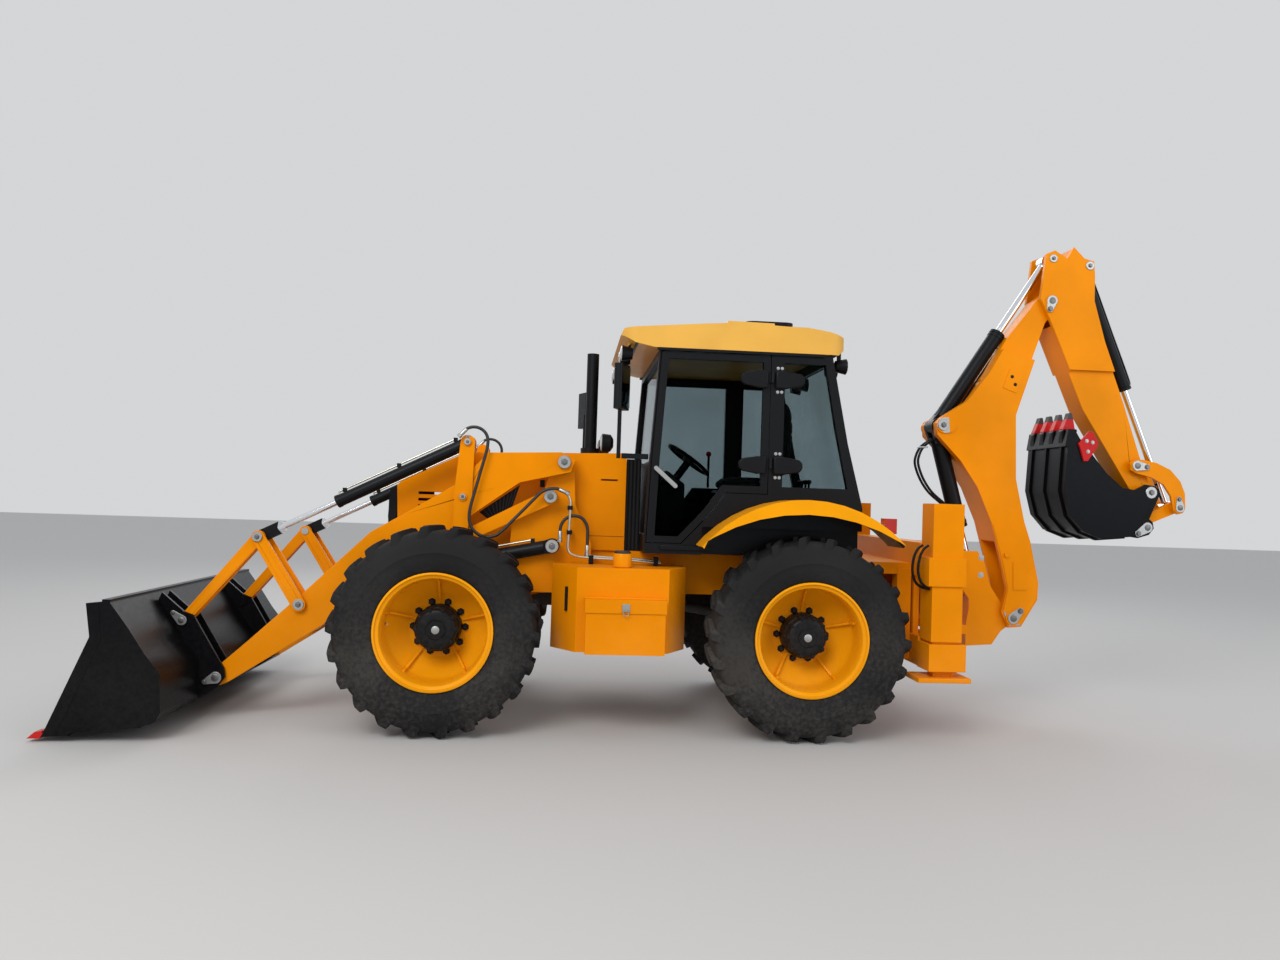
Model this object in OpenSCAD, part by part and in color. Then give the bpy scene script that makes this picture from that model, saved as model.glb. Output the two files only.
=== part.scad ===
// Backhoe loader with four wheels of one size, box stabilisers and a side-shift hoe.
// X runs forward, Y to the machine's left, Z up; the ground is Z = 0.
// Places along the machine are given from the front axle and moved by x_mid at the end.

/* [Wheels] */
// Distance between the axles
wheelbase = 2458; // [2300:2:2600]
// Tyre diameter over the lugs
tyre_d = 1365; // [1300:5:1400]
// Tyre section width
tyre_w = 370; // [330:5:380]
// Distance between the tyres' middle planes
track = 1788; // [1760:2:1820]
// Rim flange diameter
rim_d = 762; // [740:2:790]
// Lugs on each shoulder of a tyre
lug_count = 22; // [18:1:26]

/* [Cab] */
// Width over the cab doors
cab_w = 1560; // [1500:10:1600]
// Thickness of the cab walls
cab_wall = 50; // [40:5:60]
// Height of the roof's lower edge
roof_z = 2612; // [2580:2:2640]

/* [Body] */
// Width of the hood
hood_w = 780; // [700:10:800]
// Depth of the side tank, from the rail outwards
tank_depth = 950; // [900:10:1000]

/* [Loader] */
// Width of the front bucket
bucket_w = 2404; // [2300:4:2450]
// Plane of each loader arm, from the machine's middle
arm_y = 557; // [550:1:565]
// Thickness of a loader arm
arm_t = 76; // [60:2:90]

/* [Hoe] */
// Width of the hoe bucket
hoe_bucket_w = 600; // [500:10:700]
// Number of teeth on the hoe bucket
hoe_teeth = 4; // [3:1:5]
// Width of the boom's box
boom_w = 300; // [260:5:320]
// Height of the stabiliser feet above the ground as parked
foot_z = 425; // [300:5:450]

/* [Hidden] */
$fn = 48;
x_mid = 1671;
fit = 0.05;
yellow = "#E38E0A";
gold = "#F0A92A";
black = "#1B1C1E";
steel = "#C9CBCC";
red = "#B3201C";
tyre_grey = "#3A3B3C";
glass_tint = "#50605A";

// Loader pivots, [x, z] in the plane of an arm
pin_arm = [-794, 1815];
pin_level = [-706, 1573];
pin_lift = [-728, 1230];
pin_crank = [-107, 1553];
crank_low = [-95, 1265];
crank_top = [-127, 1930];
pin_joint = [1246, 1237];
pin_guide = [961, 788];
pin_ear = [1712, 668];
pin_tip = [1479, 290];
pin_eye = [620, 950];

// Hoe pivots, [x, z]
pin_foot = [-4272, 755];
pin_king = [-3990, 1090];
pin_horn = [-3681, 2223];
pin_dipper = [-4541, 3231];
pin_pull = [-4546, 3565];
pin_base = [-4844, 3523];
pin_lever = [-5245, 1965];
pin_scoop = [-5345, 1759];
pin_hook = [-5600, 1648];
pin_link = [-5245, 1487];
swing_x = -3790;

// The cab door's upright hinge axis
hinge_x = -2200;
hinge_y = 795;

// Routes of the hose loops, [x, z]
hose_r = 11;
tip_hose = [[-90, 1985], [-121, 2018], [-164, 2032], [-209, 2025], [-246, 1998], [-265, 1957], [-266, 1911],
  [-259, 1866], [-248, 1822], [-237, 1777], [-225, 1733], [-214, 1688], [-203, 1644], [-192, 1599], [-181, 1555],
  [-170, 1511], [-161, 1466], [-158, 1420], [-164, 1375], [-184, 1334], [-218, 1303], [-260, 1286], [-305, 1284],
  [-349, 1298], [-385, 1326], [-416, 1359], [-447, 1393], [-478, 1426], [-510, 1460], [-541, 1493], [-572, 1527],
  [-603, 1560], [-635, 1594], [-673, 1618], [-718, 1629], [-763, 1625], [-805, 1607]];
lift_hose = [[-781, 1294], [-781, 1327], [-782, 1360], [-792, 1391], [-811, 1418], [-838, 1436], [-869, 1444],
  [-901, 1442], [-930, 1428], [-952, 1404], [-966, 1375], [-971, 1342], [-971, 1306], [-971, 1270], [-971, 1235],
  [-971, 1200]];

wheel_r = tyre_d/2;
wheel_y = track/2;
arm_in = arm_y - arm_t/2;
arm_out = arm_y + arm_t/2;
cab_y = cab_w/2;

// Helpers

// A side profile of points [x, z], made solid from y0 to y1
module side(y0, y1, points) {
  translate([0, y1, 0])
    rotate([90, 0, 0])
      linear_extrude(y1 - y0)
        polygon(points);
}

// Any side-view drawing, made solid from y0 to y1
module across(y0, y1) {
  translate([0, y1, 0])
    rotate([90, 0, 0])
      linear_extrude(y1 - y0)
        children();
}

// A round bar across the machine at c = [x, z]
module pin(c, r, y0, y1) {
  translate([c[0], y1, c[1]])
    rotate([90, 0, 0])
      cylinder(r = r, h = y1 - y0);
}

// The same piece on both sides of the machine
module both() {
  children();
  mirror([0, 1, 0])
    children();
}

// Side view of a bar from p to q with round ends of radii rp and rq
module bar2d(p, q, rp, rq) {
  d = q - p;
  n = [-d[1], d[0]] / norm(d);
  translate(p)
    circle(rp);
  translate(q)
    circle(rq);
  polygon([p + n*rp, p - n*rp, q - n*rq, q + n*rq]);
}

// A round bar in the side plane y, from the point p towards q, between the distances s0 and s1
module ram(p, q, y, r, s0, s1) {
  d = q - p;
  a = atan2(d[1], d[0]);
  translate([p[0], y, p[1]])
    rotate([0, 90 - a, 0])
      translate([0, 0, s0])
        cylinder(r = r, h = s1 - s0);
}

// A box made from its two corners
module block(a, b) {
  translate(a)
    cube(b - a);
}

// Wheels

// Cross-section of a tyre, [radius, distance from the middle plane]
function tyre_profile(h, r) = [
  [rim_d/2 - 6, -h*0.80], [rim_d/2 + 22, -h*0.90], [rim_d/2 + 85, -h], [r - 135, -h*0.94], [r - 62, -h*0.82],
  [r - 36, -h*0.62], [r - 30, 0], [r - 36, h*0.62], [r - 62, h*0.82], [r - 135, h*0.94],
  [rim_d/2 + 85, h], [rim_d/2 + 22, h*0.90], [rim_d/2 - 6, h*0.80]
];

module lug(r, h) {
  translate([0, -10, 0])
    translate([-22, 0, 0])
      multmatrix([[1, 0.45, 0, 0], [0, 1, 0, 0], [0, 0, 1, 0]])
        rotate([90, 0, 90])
          linear_extrude(44)
            polygon([[0, r - 50], [0, r], [h*0.55, r - 3], [h*0.84, r - 36], [h*0.92, r - 110], [h*0.80, r - 110]]);
}

module wheel() {
  h = tyre_w/2;
  r = wheel_r;
  color(tyre_grey) {
    rotate([-90, 0, 0])
      rotate_extrude($fn = 44)
        polygon(tyre_profile(h, r));
    for (s = [0, 1])
      mirror([0, s, 0])
        for (i = [0:lug_count - 1])
          rotate([0, (i + s/2)*360/lug_count, 0])
            lug(r, h);
  }
  color(gold)
    rim();
  color(black)
    hub();
}

// Rim with stepped outer flange and a deep dished disc braced by five ribs
module rim() {
  rr = rim_d/2;
  f = 173;
  rotate([-90, 0, 0])
    rotate_extrude()
      polygon([
        [rr, f], [rr - 14, f], [rr - 16, f - 14], [rr - 40, f - 30], [rr - 44, -20], [rr - 60, -55], [200, -138],
        [0, -138], [0, -156], [206, -156], [rr - 54, -76], [rr - 44, -f + 40], [rr - 22, -f + 26], [rr - 20, -f],
        [rr, -f], [rr - 6, -f + 20], [rr - 22, -f + 45], [rr - 32, -20], [rr - 32, 20], [rr - 22, f - 45],
        [rr - 6, f - 20]
      ]);
  for (i = [0:4])
    rotate([0, i*72, 0])
      rotate([90, 0, 90])
        linear_extrude(14, center = true)
          polygon([[-139, 160], [-56, rr - 58], [-20, rr - 42], [30, rr - 42], [30, rr - 56], [-112, 200], [-124, 160]]);
}

// Planetary hub, with ten lobes round its cover
module hub() {
  rotate([-90, 0, 0]) {
    translate([0, 0, -138])
      cylinder(r = 150, h = 122);
    translate([0, 0, -20])
      cylinder(r = 120, h = 60);
    translate([0, 0, 38])
      cylinder(r1 = 62, r2 = 52, h = 14);
    for (i = [0:9])
      rotate([0, 0, i*36])
        translate([122, 0, -20])
          cylinder(r = 20, h = 52);
  }
}

// Chassis

module chassis() {
  color(yellow)
    both() {
      // Main rail, with the raised part under the cab and the front axle's bracket
      side(330, 370, [[520, 760], [520, 1120], [-480, 1120], [-560, 1200], [-1290, 1200], [-1990, 1190],
        [-2940, 1190], [-3250, 1190], [-3250, 900], [-2000, 900], [-900, 900], [-640, 880], [-200, 760]]);
      // Loader tower plate
      side(470, 500, [[-560, 900], [-430, 1130], [-440, 1440], [-620, 1480], [-700, 1760], [-740, 1880],
        [-860, 1880], [-880, 1520], [-1000, 1250], [-1000, 900]]);
      block([-1000, 370, 900], [-560, 470, 960]);
      block([-1000, 370, 1100], [-600, 470, 1160]);
      // Cantilever pins of the loader, with their washers
      for (p = [pin_arm, pin_level, pin_lift]) {
        pin(p, 32, 480, 604);
        pin(p, 44, 604, 616);
      }
    }
  color(yellow) {
    block([340, -330, 780], [500, 330, 1080]);
    block([-1500, -330, 1120], [-1400, 330, 1190]);
    // Rear frame that carries the stabilisers and the side-shift rails
    block([-3310, -690, 1110], [-2913, 690, 1190]);
    block([-3400, -850, 1110], [-3250, 850, 1340]);
    block([-3400, -850, 500], [-3250, 850, 700]);
    both() {
      block([-3310, 330, 700], [-3270, 700, 1110]);
      block([-3250, 600, 520], [-3150, 700, 1150]);
      stabiliser_sleeve();
    }
    // Slide rails
    block([-3600, -840, 720], [-3400, 840, 780]);
    block([-3600, -840, 1160], [-3400, 840, 1220]);
  }
}

// Outer box of a stabiliser, open along its height for the leg
module stabiliser_sleeve() {
  difference() {
    union() {
      block([-3470, 850, 690], [-3260, 1050, 1610]);
      block([-3485, 850, 1060], [-3230, 1065, 1250]);
    }
    block([-3452, 868, 600], [-3278, 1032, 1598]);
  }
}

module stabiliser() {
  color(yellow) {
    block([-3451, 869, foot_z + 60], [-3279, 1031, 1560]);
    block([-3500, 852, foot_z + 70], [-3245, 1060, foot_z + 250]);
    block([-3530, 830, foot_z], [-3170, 1080, foot_z + 30]);
    block([-3440, 900, foot_z + 25], [-3300, 1000, foot_z + 75]);
  }
}

// Engine block, gearbox and axles
module driveline() {
  color("#3A3A3C") {
    block([-560, -260, 860], [250, 260, 1480]);
    block([-1500, -230, 780], [-560, 230, 1115]);
    for (x = [0, -wheelbase]) {
      // Axle beam and its middle housing
      block([x - 90, -560, wheel_r - 70], [x + 90, 560, wheel_r + 60]);
      pin([x, wheel_r], 150, -130, 130);
    }
    block([-60, -200, 740], [60, 200, 870]);
    block([-wheelbase - 90, -430, 740], [-wheelbase + 90, 430, 899]);
    translate([-wheelbase + 100, 0, wheel_r])
      rotate([0, -8, 0])
        rotate([0, 90, 0])
          cylinder(r = 40, h = 900);
    // Rear hubs with their flanges
    both()
      pin([-wheelbase, wheel_r], 120, 560, wheel_y - 158);
    // Forks round the front knuckles
    both()
      for (z = [wheel_r - 150, wheel_r + 110])
        difference() {
          union() {
            block([-60, 540, z], [60, 640, z + 40]);
            block([-60, 540, wheel_r - 150], [60, 565, wheel_r + 150]);
            translate([0, 640, z])
              cylinder(r = 60, h = 40);
          }
          translate([0, 640, z - 1])
            cylinder(r = 25 + fit, h = 42);
        }
  }
}

module knuckle() {
  color(black) {
    translate([0, 640, wheel_r - 165])
      cylinder(r = 25, h = 330);
    translate([0, 640, wheel_r - 105])
      cylinder(r = 68, h = 210);
    pin([0, wheel_r], 100, 640, wheel_y - 158);
  }
}

// Hood

module hood() {
  h = hood_w/2;
  color(yellow)
    difference() {
      side(-h, h, [[-1240, 1200], [-1240, 1905], [-1150, 1900], [-150, 1870], [-60, 1850], [350, 1650], [380, 1620],
        [370, 1400], [330, 1150], [-480, 1125], [-560, 1200]]);
      side(-h + 20, h - 20, [[-1220, 1100], [-1220, 1885], [-155, 1850], [-70, 1832], [340, 1632], [350, 1400],
        [320, 1100]]);
      // Louvres in both sides
      for (i = [0:5])
        block([-60, -h - 1, 1330 + i*46], [230, h + 1, 1350 + i*46]);
      block([-1180, -h - 1, 1700], [-1060, h + 1, 1712]);
    }
  color(black) {
    grille();
    // Exhaust stack with its foot and bent tip
    translate([-985, -120, 1897])
      cylinder(r = 75, h = 60);
    difference() {
      translate([-985, -120, 1950])
        cylinder(r = 46, h = 740);
      translate([-985, -120, 2640])
        cylinder(r = 40, h = 60);
    }
  }
}

module grille() {
  h = hood_w/2;
  difference() {
    side(-h + 20, h - 20, [[381, 1150], [381, 1618], [430, 1590], [440, 1400], [420, 1160]]);
    for (z = [1180:40:1560])
      block([400, -h + 50, z], [460, h - 50, z + 22]);
  }
  // Guard bars across the nose
  for (y = [-240:160:240])
    block([398, y - 8, 1170], [452, y + 8, 1585]);
}

// Round tube along a route in the side plane y, given by points [x, z]
module tube(route, y, r, n = 10) {
  last = len(route) - 1;
  rings = [for (i = [0:last])
    let (
      a = route[max(i - 1, 0)],
      b = route[min(i + 1, last)],
      d = (b - a)/norm(b - a))
    for (k = [0:n - 1])
      let (u = r*cos(k*360/n), v = r*sin(k*360/n))
        [route[i][0] - d[1]*u, y + v, route[i][1] + d[0]*u]
  ];
  sides = [for (i = [0:last - 1], k = [0:n - 1])
    [i*n + k, i*n + (k + 1) % n, (i + 1)*n + (k + 1) % n, (i + 1)*n + k]];
  ends = [[for (k = [n - 1:-1:0]) k], [for (k = [0:n - 1]) last*n + k]];
  polyhedron(points = rings, faces = concat(sides, ends));
}

// Hose loops between the tipping cylinders' pipes and the frame, and short ones to the lift cylinders
module hoses() {
  color(black)
    both() {
      tube(tip_hose, 646, hose_r);
      tube(lift_hose, 622, hose_r);
    }
}

// Cab

cab_side = [[-1350, 1210], [-1350, 1280], [-1372, 1850], [-1420, roof_z], [-2620, roof_z], [-2745, 2000], [-2860, 1560],
  [-2860, 1210]];
cab_inner = [[-1400, 1260], [-1400, 1280], [-1422, 1850], [-1468, roof_z + 10], [-2575, roof_z + 10], [-2698, 2000],
  [-2810, 1560], [-2810, 1260]];
door_edge = [[-1365, 1285], [-1387, 1850], [-1434, 2590], [-2188, 2590], [-2188, 1640], [-1900, 1640], [-1800, 1500],
  [-1600, 1285]];
door_pane = [[-1420, 1330], [-1440, 1850], [-1482, 2545], [-2140, 2545], [-2140, 1690], [-1875, 1690], [-1765, 1530],
  [-1580, 1330]];
quarter_pane = [[-2290, 1690], [-2290, 2545], [-2575, 2545], [-2660, 2090], [-2750, 1690]];

module cab() {
  color(black) {
    difference() {
      side(-cab_y, cab_y, cab_side);
      difference() {
        side(-cab_y + cab_wall, cab_y - cab_wall, cab_inner);
        both()
          block([-2850, 640, 1200], [-1700, cab_y, 1450]);
      }
      // Room for the rear tyres
      both()
        block([-2900, 690, 1150], [-1745, cab_y + 5, 1400]);
      // Door opening on the left, windows elsewhere
      side(cab_y - cab_wall - 5, cab_y + 5, [for (p = door_edge) p + [p[0] > -1500 ? 5 : -5, p[1] > 2000 ? 5 : -5]]);
      side(-cab_y - 5, -cab_y + cab_wall + 5, door_pane);
      side(-cab_y - 5, cab_y + 5, quarter_pane);
      block([-1500, -cab_y + 70, 1330], [-1300, cab_y - 70, 2550]);
      block([-2900, -cab_y + 70, 1620], [-2500, cab_y - 70, 2550]);
    }
    // Console, steering column and wheel
    block([-1700, -120, 1262], [-1500, 120, 1700]);
    translate([-1600, 0, 1680])
      rotate([0, -35, 0])
        cylinder(r = 30, h = 255);
    translate([-1740, 0, 1890])
      rotate([0, -35, 0])
        rotate_extrude()
          translate([180, 0])
            circle(14, $fn = 24);
    block([-2500, -650, 1262], [-2100, -360, 1700]);
    // Pedestal of the hoe's levers, behind the seat
    block([-2690, -220, 1262], [-2600, 220, 1560]);
    for (y = [-150:100:150])
      translate([-2645, y, 1550])
        cylinder(r = 9, h = 190);
    translate([-1960, -430, 1690])
      cylinder(r = 10, h = 260);
    both()
      rain_channel();
    mirror_arm(1, -1160);
    mirror_arm(-1, -945);
  }
}

// Channel above the doors, under the roof
module rain_channel() {
  block([-2560, cab_y, roof_z - 16], [-1400, cab_y + 18, roof_z - 1]);
}

// Mirror on its arm: side of the machine and place along it
module mirror_arm(s, x) {
  mirror([0, s < 0 ? 1 : 0, 0]) {
    block([x - 22, 700, 1850], [-1365, 745, 1885]);
    translate([x, 722, 1850])
      cylinder(r = 14, h = 420);
    translate([x, 722, 2250])
      rotate([-90, 0, 0])
        cylinder(r = 14, h = 150);
    translate([x, 880, 2320])
      rotate([0, 0, -22])
        translate([0, 0, -150])
          linear_extrude(300)
            rounded(60, 190, 25);
  }
}

module cab_glass() {
  color(glass_tint) {
    // Windscreen and rear window
    side(-cab_y + 70, cab_y - 70, [[-1378, 1330], [-1397, 1850], [-1441, 2550], [-1447, 2550], [-1403, 1850], [-1384, 1330]]);
    side(-cab_y + 70, cab_y - 70, [[-2819, 1620], [-2720, 2000], [-2608, 2550], [-2602, 2550], [-2714, 2000], [-2813, 1620]]);
    side(-cab_y + 24, -cab_y + 30, door_pane);
    both()
      side(cab_y - 30, cab_y - 24, quarter_pane);
  }
}

module roof() {
  color(gold)
    intersection() {
      union() {
        side(-cab_y - 20, cab_y + 20, [[-1151, 2700], [-1172, 2741], [-1410, 2762], [-1730, 2790], [-1911, 2803],
          [-2146, 2800], [-2472, 2790], [-2590, 2772], [-2718, 2742], [-2720, 2664], [-2690, 2640],
          [-2660, roof_z + 2], [-1380, roof_z + 2], [-1250, 2640]]);
        // Crowned middle
        side(-cab_y + 190, cab_y - 190, [[-1300, 2700], [-1420, 2790], [-1740, 2828], [-1900, 2842], [-2500, 2836],
          [-2620, 2790], [-2640, 2700]]);
        // Ridge over the door post
        side(-cab_y - 20, cab_y + 20, [[-1860, 2700], [-1880, 2816], [-2200, 2812], [-2240, 2700]]);
      }
      translate([-1935, 0, 2500])
        linear_extrude(400)
          rounded(1570, 2*cab_y + 40, 120);
    }
  color(black) {
    // Hatch on top, and the lamps under the visor and at the rear
    translate([-2277, 0, 2830])
      linear_extrude(92)
        rounded(360, 640, 60);
    both()
      for (y = [400, 640]) {
        lamp([-1215, y, 2585], 1);
        lamp([-2705, y, 2560], -1);
      }
  }
}

// Work lamp facing forwards or backwards, with its bracket to the roof
module lamp(p, way) {
  translate(p)
    rotate([0, 90*way, 0])
      translate([0, 0, -25])
        cylinder(r1 = 40, r2 = 56, h = 75);
  block(p - [12, 12, 0], p + [12, 12, 120]);
}

// Rectangle with round corners, centred
module rounded(a, b, r) {
  square([a - 2*r, b], center = true);
  square([a, b - 2*r], center = true);
  for (i = [-1, 1])
    for (j = [-1, 1])
      translate([i*(a/2 - r), j*(b/2 - r)])
        circle(r);
}

module door() {
  color(black)
    difference() {
      side(cab_y - 40, cab_y, door_edge);
      side(cab_y - 50, cab_y + 10, door_pane);
    }
  color(glass_tint)
    side(cab_y - 23, cab_y - 17, door_pane);
  color(steel)
    across(cab_y, cab_y + 30)
      bar2d([-1415, 1790], [-1550, 1672], 14, 14);
  // Hinge straps with their barrels
  color(black)
    for (z = [1815, 2405]) {
      block([-2186, cab_y - 4, z], [-2030, cab_y + 9, z + 70]);
      block([-2200, cab_y + 5, z], [-2180, cab_y + 16, z + 70]);
      translate([hinge_x, hinge_y, z])
        cylinder(r = 13, h = 70);
    }
}

module seat() {
  color(black) {
    translate([-2200, 0, 1650])
      linear_extrude(120)
        rounded(500, 500, 80);
    translate([-2450, 0, 1770])
      linear_extrude(600)
        rounded(110, 480, 50);
    block([-2300, -150, 1262], [-2050, 150, 1650]);
  }
}

// Fenders and tanks

module fender() {
  c = [-2400, 700];
  r = 905;
  intersection() {
    difference() {
      pin(c, r, cab_y + 2, 1105);
      pin(c, r - 18, cab_y, 1085);
      // The outer plate is a crescent with pointed ends
      pin(c - [0, 441], 1250, 1083, 1110);
    }
    side(cab_y, 1200, [c, c + [1200, 1000], c + [600, 1400], c + [-600, 1400], c + [-900, 850]]);
  }
}

module fenders_tanks() {
  color(gold)
    both()
      fender();
  color(yellow) {
    // Side tanks with bevelled ends, in plan
    both()
      translate([0, 0, 560])
        linear_extrude(555)
          polygon([[-740, 520], [-740, 740], [-905, tank_depth], [-1514, tank_depth], [-1650, 740], [-1650, 520]]);
    both()
      block([-1600, 370, 920], [-1010, 520, 1000]);
    // Toolbox on the left
    difference() {
      block([-1488, tank_depth, 560], [-967, tank_depth + 90, 910]);
      block([-1480, tank_depth + 8, 575], [-975, tank_depth + 82, 920]);
    }
    translate([-1205, 850, 1110])
      cylinder(r = 55, h = 50);
  }
  color(black)
    translate([-1205, 850, 1160])
      cylinder(r = 62, h = 28);
  color(red)
    both()
      block([-2990, 1000, 1400], [-2915, 1100, 1500]);
}

module toolbox_lid() {
  color(yellow)
    difference() {
      block([-1494, tank_depth + 7, 830], [-961, tank_depth + 98, 918]);
      block([-1489, tank_depth - 10, 820], [-966, tank_depth + 93, 911]);
    }
  color(black)
    translate([-1494, tank_depth + 7, 918])
      rotate([0, 90, 0])
        cylinder(r = 6, h = 533);
}

// Loader

module loader_arms() {
  color(yellow) {
    both()
      difference() {
        side(arm_in, arm_out, [[-774, 1883], [-274, 1863], [-45, 1630], [295, 1418], [508, 1293], [928, 879], [1283, 542],
          [1448, 390], [1520, 322], [1555, 250], [1500, 215], [1407, 256], [814, 643], [560, 850], [-220, 1465], [-490, 1663],
          [-841, 1747], [-870, 1830]]);
        for (p = [pin_arm, pin_tip, pin_guide])
          pin(p, 32 + fit, arm_in - 1, arm_out + 1);
        pin(pin_crank, 30 + fit, arm_in - 1, arm_out + 1);
        // Slot for the lift ram's eye, open below
        side(arm_y - 28, arm_y + 28, [[100, 900], [100, 1190], [560, 1090], [700, 1060], [760, 900], [700, 600]]);
      }
    // Cross tube behind the bucket
    pin([1130, 540], 72, -arm_in, arm_in);
  }
}

module bell_cranks() {
  color(yellow)
    both() {
      for (y = [arm_in - 24, arm_out + 4])
        across(y, y + 20) {
          bar2d(crank_top, pin_crank, 48, 62);
          bar2d(pin_crank, crank_low, 58, 48);
        }
      pin(pin_crank, 30, arm_in - 30, arm_out + 34);
      pin(crank_top, 28, arm_in - 30, arm_out + 34);
      for (y = [arm_in - 30, arm_out + 20])
        pin(crank_low, 28, y, y + 14);
    }
}

module levelling_rods() {
  color(yellow)
    both()
      difference() {
        across(arm_y - 26, arm_y + 26)
          bar2d(pin_level, crank_low, 52, 40);
        pin(pin_level, 32 + fit, arm_y - 30, arm_y + 30);
      }
}

lift_len = norm(pin_eye - pin_lift);
tip_len = norm(pin_joint - crank_top);

module lift_barrels() {
  color(black)
    both()
      difference() {
        union() {
          across(arm_y - 30, arm_y + 30)
            bar2d(pin_lift, pin_lift + (pin_eye - pin_lift)/lift_len*90, 52, 40);
          ram(pin_lift, pin_eye, arm_y, 48, 60, 905);
        }
        pin(pin_lift, 32 + fit, arm_y - 31, arm_y + 31);
        ram(pin_lift, pin_eye, arm_y, 25 + fit, 120, 906);
      }
}

module lift_rods() {
  color(steel)
    both() {
      ram(pin_lift, pin_eye, arm_y, 25, 152, lift_len - 30);
      difference() {
        pin(pin_eye, 46, arm_y - 24, arm_y + 24);
        pin(pin_eye, 28, arm_y - 25, arm_y + 25);
      }
    }
}

module tip_barrels() {
  color(black)
    both()
      difference() {
        union() {
          across(arm_y - 32, arm_y + 32)
            bar2d(crank_top, crank_top + (pin_joint - crank_top)/tip_len*90, 44, 36);
          ram(crank_top, pin_joint, arm_y, 42, 50, 960);
        }
        pin(crank_top, 28 + fit, arm_y - 33, arm_y + 33);
        ram(crank_top, pin_joint, arm_y, 22 + fit, 100, 961);
      }
}

module tip_rods() {
  color(steel)
    both() {
      ram(crank_top, pin_joint, arm_y, 22, 500, tip_len - 130);
      difference() {
        across(arm_y - 20, arm_y + 20)
          bar2d(pin_joint, crank_top + (pin_joint - crank_top)/tip_len*(tip_len - 140), 42, 42);
        pin(pin_joint, 28, arm_y - 21, arm_y + 21);
      }
    }
}

module bucket_links() {
  color(yellow)
    both()
      for (y = [arm_in - 8, arm_out - 12])
        difference() {
          across(y, y + 20)
            bar2d(pin_joint, pin_ear, 40, 32);
          pin(pin_joint, 28 + fit, y - 1, y + 21);
          pin(pin_ear, 24, y - 1, y + 21);
        }
}

// Stub pins that carry the bucket links in the guide links
module joint_pins() {
  color(steel)
    both()
      for (y = [arm_in - 40, arm_out - 13])
        pin(pin_joint, 28, y, y + 53);
}

module guide_pins() {
  color(yellow)
    both() {
      pin(pin_guide, 32, arm_in - 30, arm_out + 30);
    }
}

module guide_links() {
  color(yellow)
    both()
      for (y = [arm_in - 34, arm_out + 14])
        difference() {
          across(y, y + 20)
            bar2d(pin_joint, pin_guide, 42, 46);
          pin(pin_guide, 32 + fit, y - 1, y + 21);
          pin(pin_joint, 28 + fit, y - 1, y + 21);
        }
}

// One shaft through both arms carries the front bucket, thicker between them
module bucket_pins() {
  color(steel) {
    pin(pin_tip, 32, -arm_out - 40, arm_out + 40);
    pin(pin_tip, 48, -arm_in + 40, arm_in - 40);
  }
}

// Outline of the front bucket's shell, [x, z]
bucket_back = [[2307, 34], [2040, 60], [1700, 95], [1615, 130], [1585, 185], [1600, 420], [1698, 545], [1800, 700], [1914, 853]];

module loader_bucket() {
  h = bucket_w/2;
  color(black) {
    // Shell: the same outline moved inwards by its plate
    side(-h, h, concat(bucket_back, [[1940, 853], [1825, 690], [1722, 535], [1625, 410], [1612, 190], [1636, 150],
      [1710, 116], [2045, 82], [2300, 54]]));
    // Cutting edge and the lip along the top
    side(-h, h, [[2330, 28], [2110, 40], [2112, 58], [2320, 50]]);
    side(-h, h, [[1905, 862], [1953, 862], [1953, 838], [1905, 838]]);
    // Wear strips under the floor
    for (y = [-1000:400:1000])
      side(y - 30, y + 30, [[1705, 95], [2040, 60], [2200, 44], [2200, 32], [2038, 46], [1703, 81]]);
    both() {
      side(h - 25, h, concat(bucket_back, [[2045, 837], [2017, 635], [2258, 54]]));
      // Doubling plate along the open edge of each side
      side(h, h + 2, [[2045, 837], [2017, 635], [2258, 54], [2180, 54], [1950, 620], [1972, 837]]);
      // Ears for the pins, with stub pins outside them
      for (y = [arm_in - 32, arm_out + 12])
        difference() {
          side(y, y + 20, [[1870, 800], [1850, 850], [1700, 722], [1640, 700], [1430, 350], [1421, 290], [1464, 230], [1590, 150],
            [1600, 420], [1698, 545], [1800, 700]]);
          pin(pin_tip, 32 + fit, y - 1, y + 21);
        }
      pin(pin_ear, 36, arm_in - 42, arm_in - 32);
      pin(pin_ear, 36, arm_out + 32, arm_out + 42);
    }
  }
  color(red)
    both()
      side(h - 70, h, [[2350, 22], [2276, 22], [2262, 52], [2268, 66], [2306, 62]]);
}

// Hoe

module carriage() {
  color(yellow)
    difference() {
      union() {
        block([-3668, -260, 700], [-3605, 260, 1240]);
        for (z = [780, 1100]) {
          block([swing_x, -55, z], [-3660, 55, z + 50]);
          translate([swing_x, 0, z])
            cylinder(r = 55, h = 50);
        }
      }
      translate([swing_x, 0, 700])
        cylinder(r = 35 + fit, h = 600);
    }
}

module king_post() {
  color(yellow) {
    difference() {
      union() {
        side(-110, 110, [[-3868, 990], [-3938, 894], [-3940, 818], [-3917, 681], [-3921, 530], [-4128, 544],
          [-4200, 649], [-4340, 755], [-4188, 877], [-4106, 999]]);
        both()
          side(62, 110, [[-3868, 1259], [-4000, 1260], [-4060, 1170], [-4106, 999], [-3868, 990]]);
        translate([swing_x, 0, 835])
          cylinder(r = 60, h = 260);
        block([-3900, -58, 860], [swing_x, 58, 1070]);
      }
      pin(pin_foot, 40 + fit, -111, 111);
      // Slot for the boom cylinder's eye
      side(-57, 57, [[-4250, 905], [-3905, 905], [-3905, 1300], [-4250, 1300]]);
    }
    translate([swing_x, 0, 770])
      cylinder(r = 35, h = 390);
  }
}

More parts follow.
